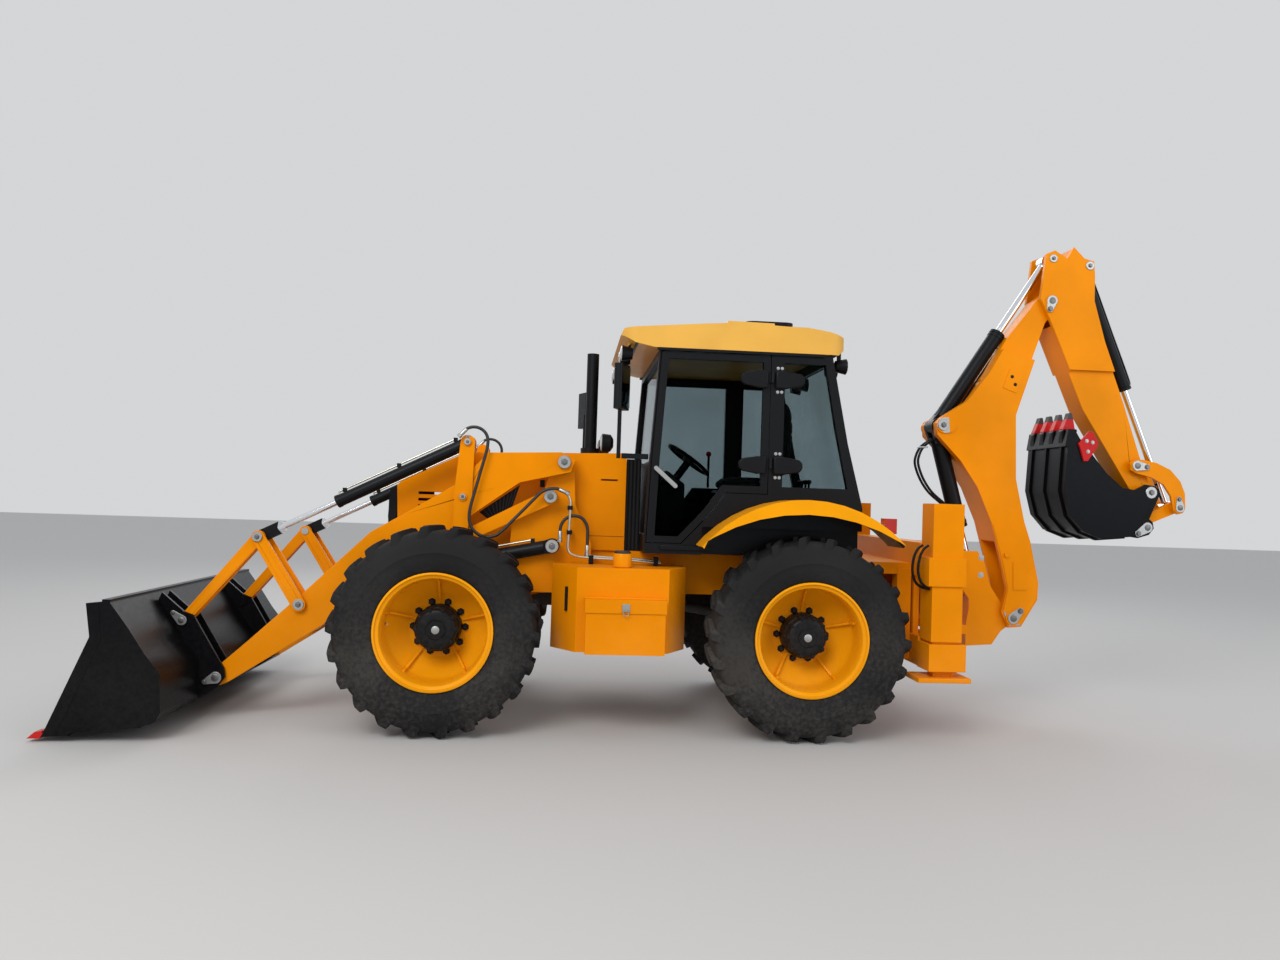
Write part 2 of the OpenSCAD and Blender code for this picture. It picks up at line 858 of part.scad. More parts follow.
boom_side = [[-4182, 801], [-4222, 979], [-4173, 1177], [-4085, 1490], [-3967, 1756], [-3832, 1951], [-3640, 2150], [-3630, 2240],
  [-3680, 2290], [-3871, 2416], [-4041, 2639], [-4199, 2918], [-4350, 3120], [-4440, 3240], [-4541, 3320], [-4620, 3260],
  [-4560, 3130], [-4508, 3061], [-4399, 2741], [-4262, 2323], [-4274, 1828], [-4349, 1498], [-4401, 1346], [-4472, 1031],
  [-4467, 900], [-4340, 690], [-4240, 680]];

module boom() {
  h = boom_w/2;
  color(yellow)
    difference() {
      side(-h, h, boom_side);
      side(-115, 115, [[-4100, 500], [-4100, 1350], [-4300, 1300], [-4430, 900], [-4430, 500]]);
      side(-82, 82, [[-3500, 1900], [-3805, 1900], [-3860, 2060], [-3880, 2300], [-4020, 2560], [-4000, 2700], [-3600, 2700]]);
      for (s = [-1, 1])
        translate([0, s*(90 + 100), 0])
          side(-100, 100, [[-4150, 2836], [-4100, 3400], [-4800, 3400], [-4450, 2744]]);
      pin(pin_dipper, 40 + fit, -100, 100);
    }
  color(yellow)
    both() {
      // Doubling plate of the foot, with a thicker pad and a stop lug
      side(h - 1, h + 6, [[-4097, 1472], [-4186, 1174], [-4230, 979], [-4194, 810], [-4245, 692], [-4336, 702],
        [-4456, 905], [-4461, 1030], [-4392, 1344], [-4360, 1456]]);
      side(h + 5, h + 12, [[-4262, 1186], [-4268, 972], [-4378, 975], [-4372, 1182]]);
      pin([-4205, 1239], 17, h + 5, h + 22);
      // Oval boss at the horn's pin
      across(h - 1, h + 12)
        bar2d([-3690, 2222], [-3728, 2226], 60, 58);
      // Plate for the pipe clamps
      side(h - 1, h + 5, [[-4205, 2682], [-4320, 2648], [-4258, 2495], [-4150, 2532]]);
    }
  color(steel) {
    pin(pin_foot, 40, -h - 5, h + 5);
    pin(pin_horn, 40, -h, h);
  }
}

boom_len = norm(pin_king - pin_horn);
pull_len = norm(pin_pull - pin_horn);
scoop_len = norm(pin_hook - pin_base);

module boom_barrel() {
  color(black)
    difference() {
      union() {
        ram(pin_horn, pin_king, 0, 62, 80, 790);
        for (y = [-78, 44])
          across(y, y + 34)
            bar2d(pin_horn, pin_horn + (pin_king - pin_horn)/boom_len*110, 60, 50);
      }
      pin(pin_horn, 40 + fit, -80, 80);
      ram(pin_horn, pin_king, 0, 32 + fit, 72, 791);
    }
}

module boom_rod() {
  color(steel) {
    ram(pin_horn, pin_king, 0, 32, 74, boom_len - 40);
    difference() {
      pin(pin_king, 55, -50, 50);
      pin(pin_king, 30, -51, 51);
    }
  }
}

dipper_side = [[-4538, 3070], [-4450, 3250], [-4480, 3500], [-4490, 3600], [-4560, 3630], [-4660, 3570], [-4714, 3664], [-4800, 3580],
  [-4880, 3560], [-4890, 3440], [-4890, 3250], [-4983, 2931], [-5162, 2458], [-5302, 2046], [-5400, 1800], [-5345, 1690],
  [-5267, 1720], [-5175, 1860], [-4827, 2397]];

module dipper() {
  color(yellow)
    difference() {
      side(-130, 130, dipper_side);
      side(-95, 95, [[-4300, 3000], [-4300, 3700], [-4725, 3700], [-4660, 3400], [-4660, 3200], [-4640, 3050]]);
      side(-60, 60, [[-4760, 3700], [-4760, 3380], [-4850, 3080], [-5100, 3080], [-5100, 3700]]);
      for (s = [-1, 1])
        translate([0, s*(100 + 50), 0])
          side(-50, 50, [[-4700, 2700], [-5300, 2700], [-5500, 1500], [-5000, 1500]]);
      pin(pin_lever, 30 + fit, -140, 140);
      pin(pin_scoop, 35 + fit, -140, 140);
    }
  color(steel) {
    pin(pin_dipper, 40, -130, 130);
    pin(pin_base, 35, -130, 130);
  }
}

module dipper_barrel() {
  color(black)
    difference() {
      union() {
        across(-40, 40)
          bar2d(pin_horn, pin_horn + (pin_pull - pin_horn)/pull_len*110, 60, 50);
        ram(pin_horn, pin_pull, 0, 58, 80, 885);
      }
      pin(pin_horn, 40 + fit, -80, 80);
      ram(pin_horn, pin_pull, 0, 30 + fit, 120, 886);
    }
}

module dipper_rod() {
  color(steel) {
    ram(pin_horn, pin_pull, 0, 30, 790, pull_len - 40);
    difference() {
      pin(pin_pull, 50, -45, 45);
      pin(pin_pull, 28, -46, 46);
    }
  }
}

module scoop_barrel() {
  color(black)
    difference() {
      union() {
        across(-45, 45)
          bar2d(pin_base, pin_base + (pin_hook - pin_base)/scoop_len*110, 50, 45);
        ram(pin_base, pin_hook, 0, 52, 80, 1005);
      }
      pin(pin_base, 35 + fit, -80, 80);
      ram(pin_base, pin_hook, 0, 28 + fit, 120, 1006);
    }
}

module scoop_rod() {
  color(steel) {
    ram(pin_base, pin_hook, 0, 28, 880, scoop_len - 40);
    difference() {
      pin(pin_hook, 50, -40, 40);
      pin(pin_hook, 30, -41, 41);
    }
  }
}

// Outline of a curved tipping lever's plate, [x, z]
lever_side = [[-5196, 1930], [-5190, 1985], [-5225, 2012], [-5300, 2014], [-5411, 1992], [-5523, 1942], [-5606, 1854],
  [-5645, 1760], [-5650, 1650], [-5630, 1608], [-5590, 1596], [-5552, 1628], [-5532, 1735], [-5470, 1825],
  [-5370, 1878], [-5240, 1908]];

module scoop_lever() {
  color(yellow) {
    for (y = [-158, 134])
      side(y, y + 24, lever_side);
    both()
      pin(pin_lever, 48, 156, 164);
    pin(pin_lever, 30, -150, 150);
    for (y = [-140, 96])
      pin(pin_hook, 45, y, y + 44);
  }
}

module scoop_link() {
  color(yellow)
    for (y = [-94, 46])
      difference() {
        across(y, y + 48)
          bar2d(pin_hook, pin_link, 45, 34);
        pin(pin_link, 22 + fit, y - 1, y + 49);
      }
}

scoop_out = [[-4655, 2215], [-4600, 2080], [-4580, 1750], [-4630, 1560], [-4740, 1440], [-4880, 1390], [-5110, 1411],
  [-5197, 1467], [-5220, 1560]];

module hoe_bucket() {
  h = hoe_bucket_w/2;
  color(black) {
    side(-h, h, concat(scoop_out, [[-5200, 1560], [-5180, 1480], [-5105, 1432], [-4885, 1411], [-4754, 1457], [-4648, 1570],
      [-4602, 1752], [-4622, 2078], [-4672, 2205]]));
    both()
      side(h - 20, h, concat(scoop_out, [[-5256, 1691], [-5198, 1765], [-5046, 1783], [-4916, 1889], [-4693, 2152]]));
    both()
      side(165, 190, [[-5110, 1411], [-5230, 1440], [-5300, 1470], [-5420, 1750], [-5380, 1810], [-5300, 1820], [-5198, 1765],
        [-5180, 1480]]);
    pin(pin_scoop, 35, -190, 190);
    pin(pin_link, 22, -190, 190);
    // Wear ribs round the heel
    for (y = [-220, 0, 220])
      side(y - 14, y + 14, [[-4600, 2080], [-4580, 1750], [-4630, 1560], [-4740, 1440], [-4880, 1390], [-5110, 1411],
        [-5112, 1397], [-4876, 1375], [-4731, 1427], [-4617, 1552], [-4565, 1750], [-4586, 2085]]);
  }
  color(red)
    both()
      side(h - 1, h + 17, [[-4690, 2080], [-4676, 2108], [-4758, 2204], [-4786, 2202], [-4834, 2122], [-4830, 2095],
        [-4752, 1978], [-4722, 1976]]);
  color(red)
    for (i = [0:hoe_teeth - 1])
      translate([0, (i - (hoe_teeth - 1)/2)*144, 0])
        side(-28, 28, [[-4588, 2120], [-4592, 2215], [-4642, 2345], [-4656, 2345], [-4684, 2215], [-4672, 2120]]);
}

module place(p) {
  translate([x_mid, 0, 0] + p)
    children();
}

place([0, 0, 0]) chassis();
place([0, 0, 0]) driveline();
place([0, 0, 0]) hood();
place([0, 0, 0]) hoses();
place([0, 0, 0]) cab();
place([0, 0, 0]) cab_glass();
place([0, 0, 0]) roof();
place([0, 0, 0]) door();
place([0, 0, 0]) seat();
place([0, 0, 0]) fenders_tanks();
place([0, 0, 0]) toolbox_lid();
place([0, 0, 0]) knuckle();  // knuckle_left
place([0, 0, 0]) mirror([0, 1, 0]) knuckle();  // knuckle_right
place([0, wheel_y, wheel_r]) wheel();  // wheel_front_left
place([0, -wheel_y, wheel_r]) mirror([0, 1, 0]) wheel();  // wheel_front_right
place([-wheelbase, wheel_y, wheel_r]) wheel();  // wheel_rear_left
place([-wheelbase, -wheel_y, wheel_r]) mirror([0, 1, 0]) wheel();  // wheel_rear_right
place([0, 0, 0]) loader_arms();
place([0, 0, 0]) bell_cranks();
place([0, 0, 0]) levelling_rods();
place([0, 0, 0]) lift_barrels();
place([0, 0, 0]) lift_rods();
place([0, 0, 0]) tip_barrels();
place([0, 0, 0]) tip_rods();
place([0, 0, 0]) bucket_links();
place([0, 0, 0]) joint_pins();
place([0, 0, 0]) guide_pins();
place([0, 0, 0]) guide_links();
place([0, 0, 0]) bucket_pins();
place([0, 0, 0]) loader_bucket();
place([0, 0, 0]) carriage();
place([0, 0, 0]) king_post();
place([0, 0, 0]) boom();
place([0, 0, 0]) boom_barrel();
place([0, 0, 0]) boom_rod();
place([0, 0, 0]) dipper();
place([0, 0, 0]) dipper_barrel();
place([0, 0, 0]) dipper_rod();
place([0, 0, 0]) scoop_barrel();
place([0, 0, 0]) scoop_rod();
place([0, 0, 0]) scoop_lever();
place([0, 0, 0]) scoop_link();
place([0, 0, 0]) hoe_bucket();
place([0, 0, 0]) stabiliser();  // stabiliser_left
place([0, 0, 0]) mirror([0, 1, 0]) stabiliser();  // stabiliser_right
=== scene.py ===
# %% [markdown]
# # Backhoe loader: looks
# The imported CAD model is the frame: it has every shape that carries load, fastens or moves. This lesson
# gives it paint, rubber, glass and chrome, and adds the fine pieces that a CAD model leaves out, such as
# tread, bolts, keeper plates, pipes, lamp lenses and the padded seat. They could be modelled by hand. Here
# each one is a parametric surface, because a short formula with a few sizes can be read, checked and
# changed.

# %% Load the frame
import math
import bpy
import numpy as np
from mathutils import Matrix, Vector


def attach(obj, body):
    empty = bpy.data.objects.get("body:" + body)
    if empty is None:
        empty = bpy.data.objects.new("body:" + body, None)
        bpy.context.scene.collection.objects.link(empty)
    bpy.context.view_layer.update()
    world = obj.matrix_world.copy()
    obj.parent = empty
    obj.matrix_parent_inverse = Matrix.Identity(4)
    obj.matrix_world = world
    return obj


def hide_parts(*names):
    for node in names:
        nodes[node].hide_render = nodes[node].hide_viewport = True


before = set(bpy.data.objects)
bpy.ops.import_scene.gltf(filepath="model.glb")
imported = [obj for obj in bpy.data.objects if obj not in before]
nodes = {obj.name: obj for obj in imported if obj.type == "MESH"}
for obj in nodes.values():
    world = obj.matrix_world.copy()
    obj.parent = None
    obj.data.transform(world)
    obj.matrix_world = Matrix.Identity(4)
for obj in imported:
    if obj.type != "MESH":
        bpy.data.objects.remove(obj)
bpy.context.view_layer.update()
scene = bpy.context.scene
print("CAD nodes:", len(nodes))

# %% [markdown]
# ## Places
# The machine is drawn from its front axle, so places are written in millimetres from there, as in the CAD
# source. One function turns them into metres of the shared frame, and no other line changes units. A
# side-view outline is a list of (x, z), and a point in space is (x, y, z).

# %% Driving sizes and units
X_MID = 1671.0
WHEELBASE = 2458.0
WHEEL_R = 682.5
WHEEL_Y = 894.0
RIM_R = 381.0
HOOD_Y = 390.0
CAB_Y = 780.0
ACROSS = (0, 1, 0)
UP = (0, 0, 1)


def place(x, y, z):
    """A point of the machine in metres of the shared frame."""
    return np.array([(x + X_MID) / 1000, y / 1000, z / 1000])


def places(points):
    """Many points at once, as an array of n rows."""
    return (np.asarray(points, float) + [X_MID, 0, 0]) / 1000


# %% [markdown]
# ## Shader groups
# Paint outdoors is never one even colour: it fades in broad patches, dust settles on what is low and on
# what faces up, and a sprayed coat has a faint orange peel. Each material could have its own nodes for
# that. One group, `weather`, does it for all of them, so that the whole machine looks as if it stood in the
# same yard.

# %% Small helpers for nodes
def new_group(name, inputs, outputs):
    """An empty shader node group with the given (name, socket type, default) sockets."""
    g = bpy.data.node_groups.new(name, "ShaderNodeTree")
    for label, kind, value in inputs:
        s = g.interface.new_socket(name=label, in_out="INPUT", socket_type=kind)
        if value is not None:
            s.default_value = value
    for label, kind in outputs:
        g.interface.new_socket(name=label, in_out="OUTPUT", socket_type=kind)
    return g, g.nodes.new("NodeGroupInput"), g.nodes.new("NodeGroupOutput")


def math_node(tree, op, a, b, clamp=False):
    """One arithmetic node; a and b are sockets or numbers."""
    n = tree.nodes.new("ShaderNodeMath")
    n.operation = op
    n.use_clamp = clamp
    for socket, v in zip(n.inputs, (a, b)):
        if isinstance(v, (int, float)):
            socket.default_value = v
        else:
            tree.links.new(v, socket)
    return n.outputs[0]


def noise(tree, vector, scale, detail, rough=0.5):
    """Cloudy noise from 0 to 1 over a vector socket."""
    n = tree.nodes.new("ShaderNodeTexNoise")
    n.inputs["Scale"].default_value = scale
    n.inputs["Detail"].default_value = detail
    n.inputs["Roughness"].default_value = rough
    tree.links.new(vector, n.inputs["Vector"])
    return n.outputs["Fac"]


def remap(tree, value, lo, hi, out_lo=0.0, out_hi=1.0):
    """The value, moved softly from the range lo..hi to out_lo..out_hi."""
    n = tree.nodes.new("ShaderNodeMapRange")
    n.interpolation_type = "SMOOTHSTEP"
    for k, v in zip(("From Min", "From Max", "To Min", "To Max"), (lo, hi, out_lo, out_hi)):
        n.inputs[k].default_value = v
    tree.links.new(value, n.inputs["Value"])
    return n.outputs["Result"]


def mix(tree, fac, a, b):
    """A colour between the colour sockets a and b."""
    n = tree.nodes.new("ShaderNodeMix")
    n.data_type = "RGBA"
    tree.links.new(fac, n.inputs["Factor"])
    for key, v in (("A", a), ("B", b)):
        tree.links.new(v, [s for s in n.inputs if s.name == key and s.type == "RGBA"][0])
    return [o for o in n.outputs if o.type == "RGBA"][0]


# %% The weather group
def axis_z(tree, vector):
    """The Z part of a vector socket."""
    split = tree.nodes.new("ShaderNodeSeparateXYZ")
    tree.links.new(vector, split.inputs[0])
    return split.outputs["Z"]


def weather_group():
    """Colour: the base, lighter and darker in patches, under dust where the place is low or faces up.
    Roughness: the given one plus 0.45 of the dust. Normal: bumped by two finer noises."""
    g, gi, go = new_group(
        "weather",
        [("Position", "NodeSocketVector", None), ("Base", "NodeSocketColor", (0.5, 0.5, 0.5, 1)),
         ("Dust colour", "NodeSocketColor", (0.30, 0.24, 0.17, 1)), ("Dust", "NodeSocketFloat", 0.3),
         ("Roughness", "NodeSocketFloat", 0.4), ("Bump", "NodeSocketFloat", 0.05)],
        [("Colour", "NodeSocketColor"), ("Roughness", "NodeSocketFloat"), ("Normal", "NodeSocketVector")])
    pos = gi.outputs["Position"]
    broad = noise(g, pos, 1.7, 4)
    fine = noise(g, pos, 38, 4, 0.6)
    peel = noise(g, pos, 260, 2)
    low = remap(g, axis_z(g, pos), 1.5, 0.1)
    normal = g.nodes.new("ShaderNodeNewGeometry")
    flat = remap(g, axis_z(g, normal.outputs["Normal"]), 0.35, 0.95)
    clouds = math_node(g, "ADD", math_node(g, "MULTIPLY", broad, 0.6), math_node(g, "MULTIPLY", fine, 0.5))
    patchy = remap(g, clouds, 0.42, 0.72)
    amount = math_node(g, "ADD", math_node(g, "MULTIPLY", low, 0.75), math_node(g, "MULTIPLY", flat, 0.40))
    dust = math_node(g, "MULTIPLY", math_node(g, "MULTIPLY", amount, patchy), gi.outputs["Dust"], clamp=True)
    shade = g.nodes.new("ShaderNodeHueSaturation")
    g.links.new(gi.outputs["Base"], shade.inputs["Color"])
    g.links.new(remap(g, broad, 0.3, 0.7, 0.90, 1.08), shade.inputs["Value"])
    colour = mix(g, dust, shade.outputs["Color"], gi.outputs["Dust colour"])
    rough = math_node(g, "ADD", gi.outputs["Roughness"], math_node(g, "MULTIPLY", dust, 0.45), clamp=True)
    rough = math_node(g, "ADD", rough, remap(g, fine, 0.3, 0.7, -0.04, 0.05), clamp=True)
    bump = g.nodes.new("ShaderNodeBump")
    bump.inputs["Distance"].default_value = 0.002
    g.links.new(gi.outputs["Bump"], bump.inputs["Strength"])
    height = math_node(g, "ADD", math_node(g, "MULTIPLY", peel, 0.5), fine)
    g.links.new(height, bump.inputs["Height"])
    g.links.new(colour, go.inputs["Colour"])
    g.links.new(rough, go.inputs["Roughness"])
    g.links.new(bump.outputs["Normal"], go.inputs["Normal"])
    return g


WEATHER = weather_group()
print("weather group:", len(WEATHER.nodes), "nodes")

# %% [markdown]
# ## Materials
# The machine has two yellows and a paler roof, black paint, worn buckets, castings, chrome rods, zinc
# fittings and rubber. Each finish could be an image. Here it is a row of numbers for one Principled shader
# and the weather group, so that all of them can be compared in one table.

# %% One material from one row
materials = {}


def material(name, base, rough, dust, bump, metal=0.0, coat=0.0, **extra):
    """A Principled material whose colour, roughness and normal come from the weather group."""
    m = bpy.data.materials.new(name)
    m.use_nodes = True
    t = m.node_tree
    p = t.nodes["Principled BSDF"]
    where = t.nodes.new("ShaderNodeTexCoord")
    w = t.nodes.new("ShaderNodeGroup")
    w.node_tree = WEATHER
    t.links.new(where.outputs["Object"], w.inputs["Position"])
    w.inputs["Base"].default_value = (*base, 1)
    w.inputs["Dust colour"].default_value = (0.30, 0.24, 0.17, 1)
    w.inputs["Dust"].default_value = dust
    w.inputs["Roughness"].default_value = rough
    w.inputs["Bump"].default_value = bump
    t.links.new(w.outputs["Colour"], p.inputs["Base Color"])
    t.links.new(w.outputs["Roughness"], p.inputs["Roughness"])
    t.links.new(w.outputs["Normal"], p.inputs["Normal"])
    p.inputs["Metallic"].default_value = metal
    p.inputs["Coat Weight"].default_value = coat
    p.inputs["Coat Roughness"].default_value = 0.08
    for key, value in extra.items():
        p.inputs[key.replace("_", " ")].default_value = value
    materials[name] = m


# Name, base colour, roughness, dust, bump, metallic, coat
FINISHES = [
    ("yellow", (0.81, 0.248, 0.000), 0.38, 0.12, 0.05, 0.0, 0.04),
    ("gold", (0.86, 0.330, 0.002), 0.37, 0.10, 0.05, 0.0, 0.04),
    ("roof_gold", (0.72, 0.390, 0.070), 0.42, 0.12, 0.05, 0.0, 0.04),
    ("black", (0.005, 0.005, 0.006), 0.42, 0.10, 0.04, 0.0, 0.03),
    ("bucket", (0.003, 0.003, 0.004), 0.32, 0.03, 0.02, 0.0, 0.0),
    ("casting", (0.045, 0.045, 0.048), 0.62, 0.60, 0.30, 0.1, 0.0),
    ("chrome", (0.80, 0.81, 0.82), 0.09, 0.05, 0.01, 1.0, 0.0),
    ("zinc", (0.44, 0.45, 0.44), 0.40, 0.20, 0.15, 0.95, 0.0),
    ("steel", (0.19, 0.19, 0.19), 0.42, 0.20, 0.15, 0.95, 0.0),
    ("pipe", (0.62, 0.60, 0.52), 0.30, 0.10, 0.05, 0.9, 0.0),
    ("rubber", (0.011, 0.011, 0.012), 0.70, 0.34, 0.30, 0.0, 0.0),
    ("hose", (0.014, 0.014, 0.014), 0.48, 0.20, 0.20, 0.0, 0.0),
    ("red", (0.50, 0.012, 0.012), 0.42, 0.10, 0.08, 0.0, 0.05),
    ("plastic", (0.022, 0.022, 0.024), 0.50, 0.15, 0.25, 0.0, 0.0),
    ("cloth", (0.022, 0.022, 0.025), 0.88, 0.10, 0.60, 0.0, 0.0),
    ("white", (0.75, 0.75, 0.73), 0.45, 0.15, 0.05, 0.0, 0.0),
]
for finish in FINISHES:
    material(*finish)

# %% [markdown]
# A plain Principled paint reflects a pale sky so strongly that black turns grey. The real paint is dull
# from dust, so these finishes get a lower specular level and a tint near their own colour. Rubber holds
# paler dust.

# %% Sheen of paint and rubber
# Name, specular level, specular tint
SHEENS = [
    ("yellow", 0.22, (1.0, 0.68, 0.16)),
    ("gold", 0.22, (1.0, 0.74, 0.22)),
    ("roof_gold", 0.22, (1.0, 0.85, 0.55)),
    ("black", 0.16, (0.9, 0.95, 1.0)),
    ("bucket", 0.11, (0.9, 0.95, 1.0)),
    ("rubber", 0.16, (1.0, 1.0, 1.0)),
    ("red", 0.22, (1.0, 0.5, 0.5)),
]
for name, level, tint in SHEENS:
    paint = materials[name].node_tree.nodes["Principled BSDF"]
    paint.inputs["Specular IOR Level"].default_value = level
    paint.inputs["Specular Tint"].default_value = (*tint, 1)
materials["rubber"].node_tree.nodes["Group"].inputs["Dust colour"].default_value = (0.17, 0.15, 0.125, 1)

# %% [markdown]
# The cab's panes are tinted glass. All of the light goes through them or off them, with no dull share,
# because a dull share shows as grain in front of the dark cab. Their roughness is one number all over, so
# it is set on the shader and takes nothing from the group. The low IOR keeps thin panes from bending what
# is behind them.

# %% Glass, lenses and mirrors
material("glass", (0.36, 0.42, 0.43), 0.0, 0.0, 0.0, Transmission_Weight=1.0, IOR=1.03,
         Specular_Tint=(0.28, 0.31, 0.33, 1))
pane = materials["glass"].node_tree
pane.links.remove(pane.nodes["Principled BSDF"].inputs["Roughness"].links[0])
pane.nodes["Principled BSDF"].inputs["Roughness"].default_value = 0.0
material("lens", (0.86, 0.88, 0.88), 0.08, 0.0, 0.02, Transmission_Weight=0.55, IOR=1.3)
material("lens_red", (0.50, 0.02, 0.015), 0.12, 0.0, 0.02, Transmission_Weight=0.30)
material("mirror", (0.85, 0.87, 0.88), 0.03, 0.0, 0.0, metal=1.0)
print("materials:", len(materials))

# %% [markdown]
# ## Making meshes
# A machine has hundreds of small pieces. One object for each would work, but it is slow to handle, so they
# are gathered per label, body and material: sixty bolts are one object. Each shape function returns
# vertices, as n rows in metres of the shared frame, and faces.

# %% Gathering and building
gathered = {}


def add(label, body, mat, shape, bevel=0.0, smooth=True):
    """Puts a shape (vertices, faces) into the piece `label` on `body`."""
    fresh = {"v": [], "f": [], "n": 0, "bevel": bevel, "smooth": smooth}
    entry = gathered.setdefault((label, body, mat), fresh)
    v, f = shape
    entry["v"].append(np.asarray(v, float))
    entry["f"].extend([tuple(i + entry["n"] for i in face) for face in f])
    entry["n"] += len(v)


def build(name, verts, faces, mat, smooth=True, bevel=0.0):
    """A mesh object at the origin, with a material and an optional bevel."""
    me = bpy.data.meshes.new(name)
    me.from_pydata(np.asarray(verts).tolist(), [], faces)
    me.materials.append(materials[mat])
    me.validate()
    if smooth:
        me.shade_smooth()
        me.set_sharp_from_angle(angle=math.radians(38))
    ob = bpy.data.objects.new(name, me)
    scene.collection.objects.link(ob)
    if bevel:
        b = ob.modifiers.new("edge", "BEVEL")
        b.width = bevel
        b.segments = 2
        b.limit_method = "ANGLE"
    return ob


def joined(shapes):
    """Several shapes as one."""
    starts = np.cumsum([0] + [len(v) for v, _ in shapes])
    faces = [tuple(i + n for i in face) for (_, f), n in zip(shapes, starts.tolist()) for face in f]
    return np.vstack([v for v, _ in shapes]), faces


def both_sides(shape):
    """The shape with its mirror image on the machine's other side, whose faces run the other way round."""
    v, f = shape
    v = np.asarray(v, float)
    return joined([(v, f), (v * [1, -1, 1], [tuple(reversed(face)) for face in f])])


def grid(points, close_u=False, close_v=False):
    """Four-sided faces over an array of points of shape (nu, nv, 3), closed along u, v or both."""
    nu, nv = points.shape[:2]
    i = np.arange(nu if close_u else nu - 1)[:, None]
    j = np.arange(nv if close_v else nv - 1)[None, :]
    i2, j2 = (i + 1) % nu, (j + 1) % nv
    corners = np.broadcast_arrays(i * nv + j, i2 * nv + j, i2 * nv + j2, i * nv + j2)
    return points.reshape(-1, 3), np.stack(corners, -1).reshape(-1, 4).tolist()


# %% [markdown]
# Most parts of a machine are turned, bent or cut from plate. So three surfaces make nearly all of the small
# pieces: a profile turned about an axis, a circle carried along a path, and a side-view outline with a
# thickness.

# %% Turned shapes
def axes(direction):
    """The unit vector along a direction and two more square to it."""
    d = np.asarray(direction, float)
    d = d / np.linalg.norm(d)
    a = np.cross(d, [0, 1, 0] if abs(d[1]) < 0.9 else [1, 0, 0])
    a /= np.linalg.norm(a)
    return d, a, np.cross(d, a)


def revolve(centre, direction, profile, n, closed=False):
    """A profile of (radius r, distance s along the axis) in mm, turned about an axis d.
    Point = centre + s*d + r*(cos(u)*a + sin(u)*b). A closed profile is a ring's section, and an open one
    gets end caps."""
    d, a, b = axes(direction)
    u = np.linspace(0, 2 * np.pi, n, endpoint=False)
    pr = np.asarray(profile, float) / 1000
    ring = np.cos(u)[:, None] * a + np.sin(u)[:, None] * b
    pts = centre + pr[None, :, 1, None] * d + pr[None, :, 0, None] * ring[:, None, :]
    v, f = grid(pts, close_u=True, close_v=closed)
    m = len(pr)
    if not closed and pr[0, 0] > 1e-6:
        f.append(tuple(i * m for i in range(n)))
    if not closed and pr[-1, 0] > 1e-6:
        f.append(tuple(i * m + m - 1 for i in reversed(range(n))))
    return v, f


def bolt(centre, direction, size, height):
    """A hexagon head on its flange; size is about its width across corners."""
    profile = [(size * 0.72, 0), (size * 0.72, height * 0.25), (size * 0.5, height * 0.25),
               (size * 0.5, height * 0.9), (size * 0.42, height)]
    return revolve(centre, direction, profile, n=6)


# %% Shapes along a path
def tube(points, radius, n):
    """A round tube of radius mm along points in metres. Point = path(s) + radius*(cos(u)*a + sin(u)*b),
    where a is carried along the path and kept square to it, so that the tube doesn't twist."""
    p = np.asarray(points, float)
    t = np.gradient(p, axis=0)
    t /= np.linalg.norm(t, axis=1)[:, None]
    a = axes(t[0])[1]
    rings = []
    u = np.linspace(0, 2 * np.pi, n, endpoint=False)
    for c, d in zip(p, t):
        a = a - d * (a @ d)
        a /= np.linalg.norm(a)
        b = np.cross(d, a)
        rings.append(c + radius / 1000 * (np.cos(u)[:, None] * a + np.sin(u)[:, None] * b))
    v, f = grid(np.array(rings), close_v=True)
    f += [tuple(reversed(range(n))), tuple(range(len(v) - n, len(v)))]
    return v, f


def smooth_path(points, n):
    """A smooth curve through points, sampled at n even steps: a cubic between each two of them, whose slope
    at a point is half the step between that point's neighbours."""
    p = np.asarray(points, float)
    q = np.vstack([2 * p[0] - p[1], p, 2 * p[-1] - p[-2]])
    s = np.linspace(0, len(p) - 1 - 1e-9, n)
    i = s.astype(int)
    t = (s - i)[:, None]
    a, b, c, d = (q[i + k] for k in range(4))
    bend = (2 * a - 5 * b + 4 * c - d) * t ** 2 + (3 * b - a - 3 * c + d) * t ** 3
    return 0.5 * (2 * b + (c - a) * t + bend)


# %% Plates and boxes
def plate(outline, y0, y1):
    """A side-view outline of (x, z) in mm, thick from y0 to y1."""
    n = len(outline)
    flat = np.asarray(outline, float)
    v = places(np.vstack([np.insert(flat, 1, y, axis=1) for y in (y0, y1)]))
    f = [tuple(range(n)), tuple(reversed(range(n, 2 * n)))]
    f += [(i, i + n, (i + 1) % n + n, (i + 1) % n) for i in range(n)]
    return v, f


def box(lo, hi):
    """A box between two corners in mm."""
    (x0, y0, z0), (x1, y1, z1) = lo, hi
    return plate([(x0, z0), (x1, z0), (x1, z1), (x0, z1)], y0, y1)


def drop(c, r, tail, r2, n=20):
    """Outline of a teardrop: half a circle of radius r round c and half a smaller one, r2, round its tail."""
    c, tail = np.asarray(c, float), np.asarray(tail, float)
    turned = math.atan2(*(tail - c)[::-1])
    half = np.linspace(-np.pi / 2, np.pi / 2, n) + turned
    circle = np.stack([np.cos(half), np.sin(half)], 1)
    return np.vstack([c - r * circle, tail + r2 * circle])


# %% [markdown]
# ## The CAD nodes
# A CAD node may be one solid with several finishes, such as the door with its glass. Cutting it up would
# lose its link to the frame. So it keeps its shape, gets a small bevel from modifiers, which catches the
# light as a real edge does, and takes one material per region: a rule picks faces by the middle of each
# face, in millimetres from the front axle.

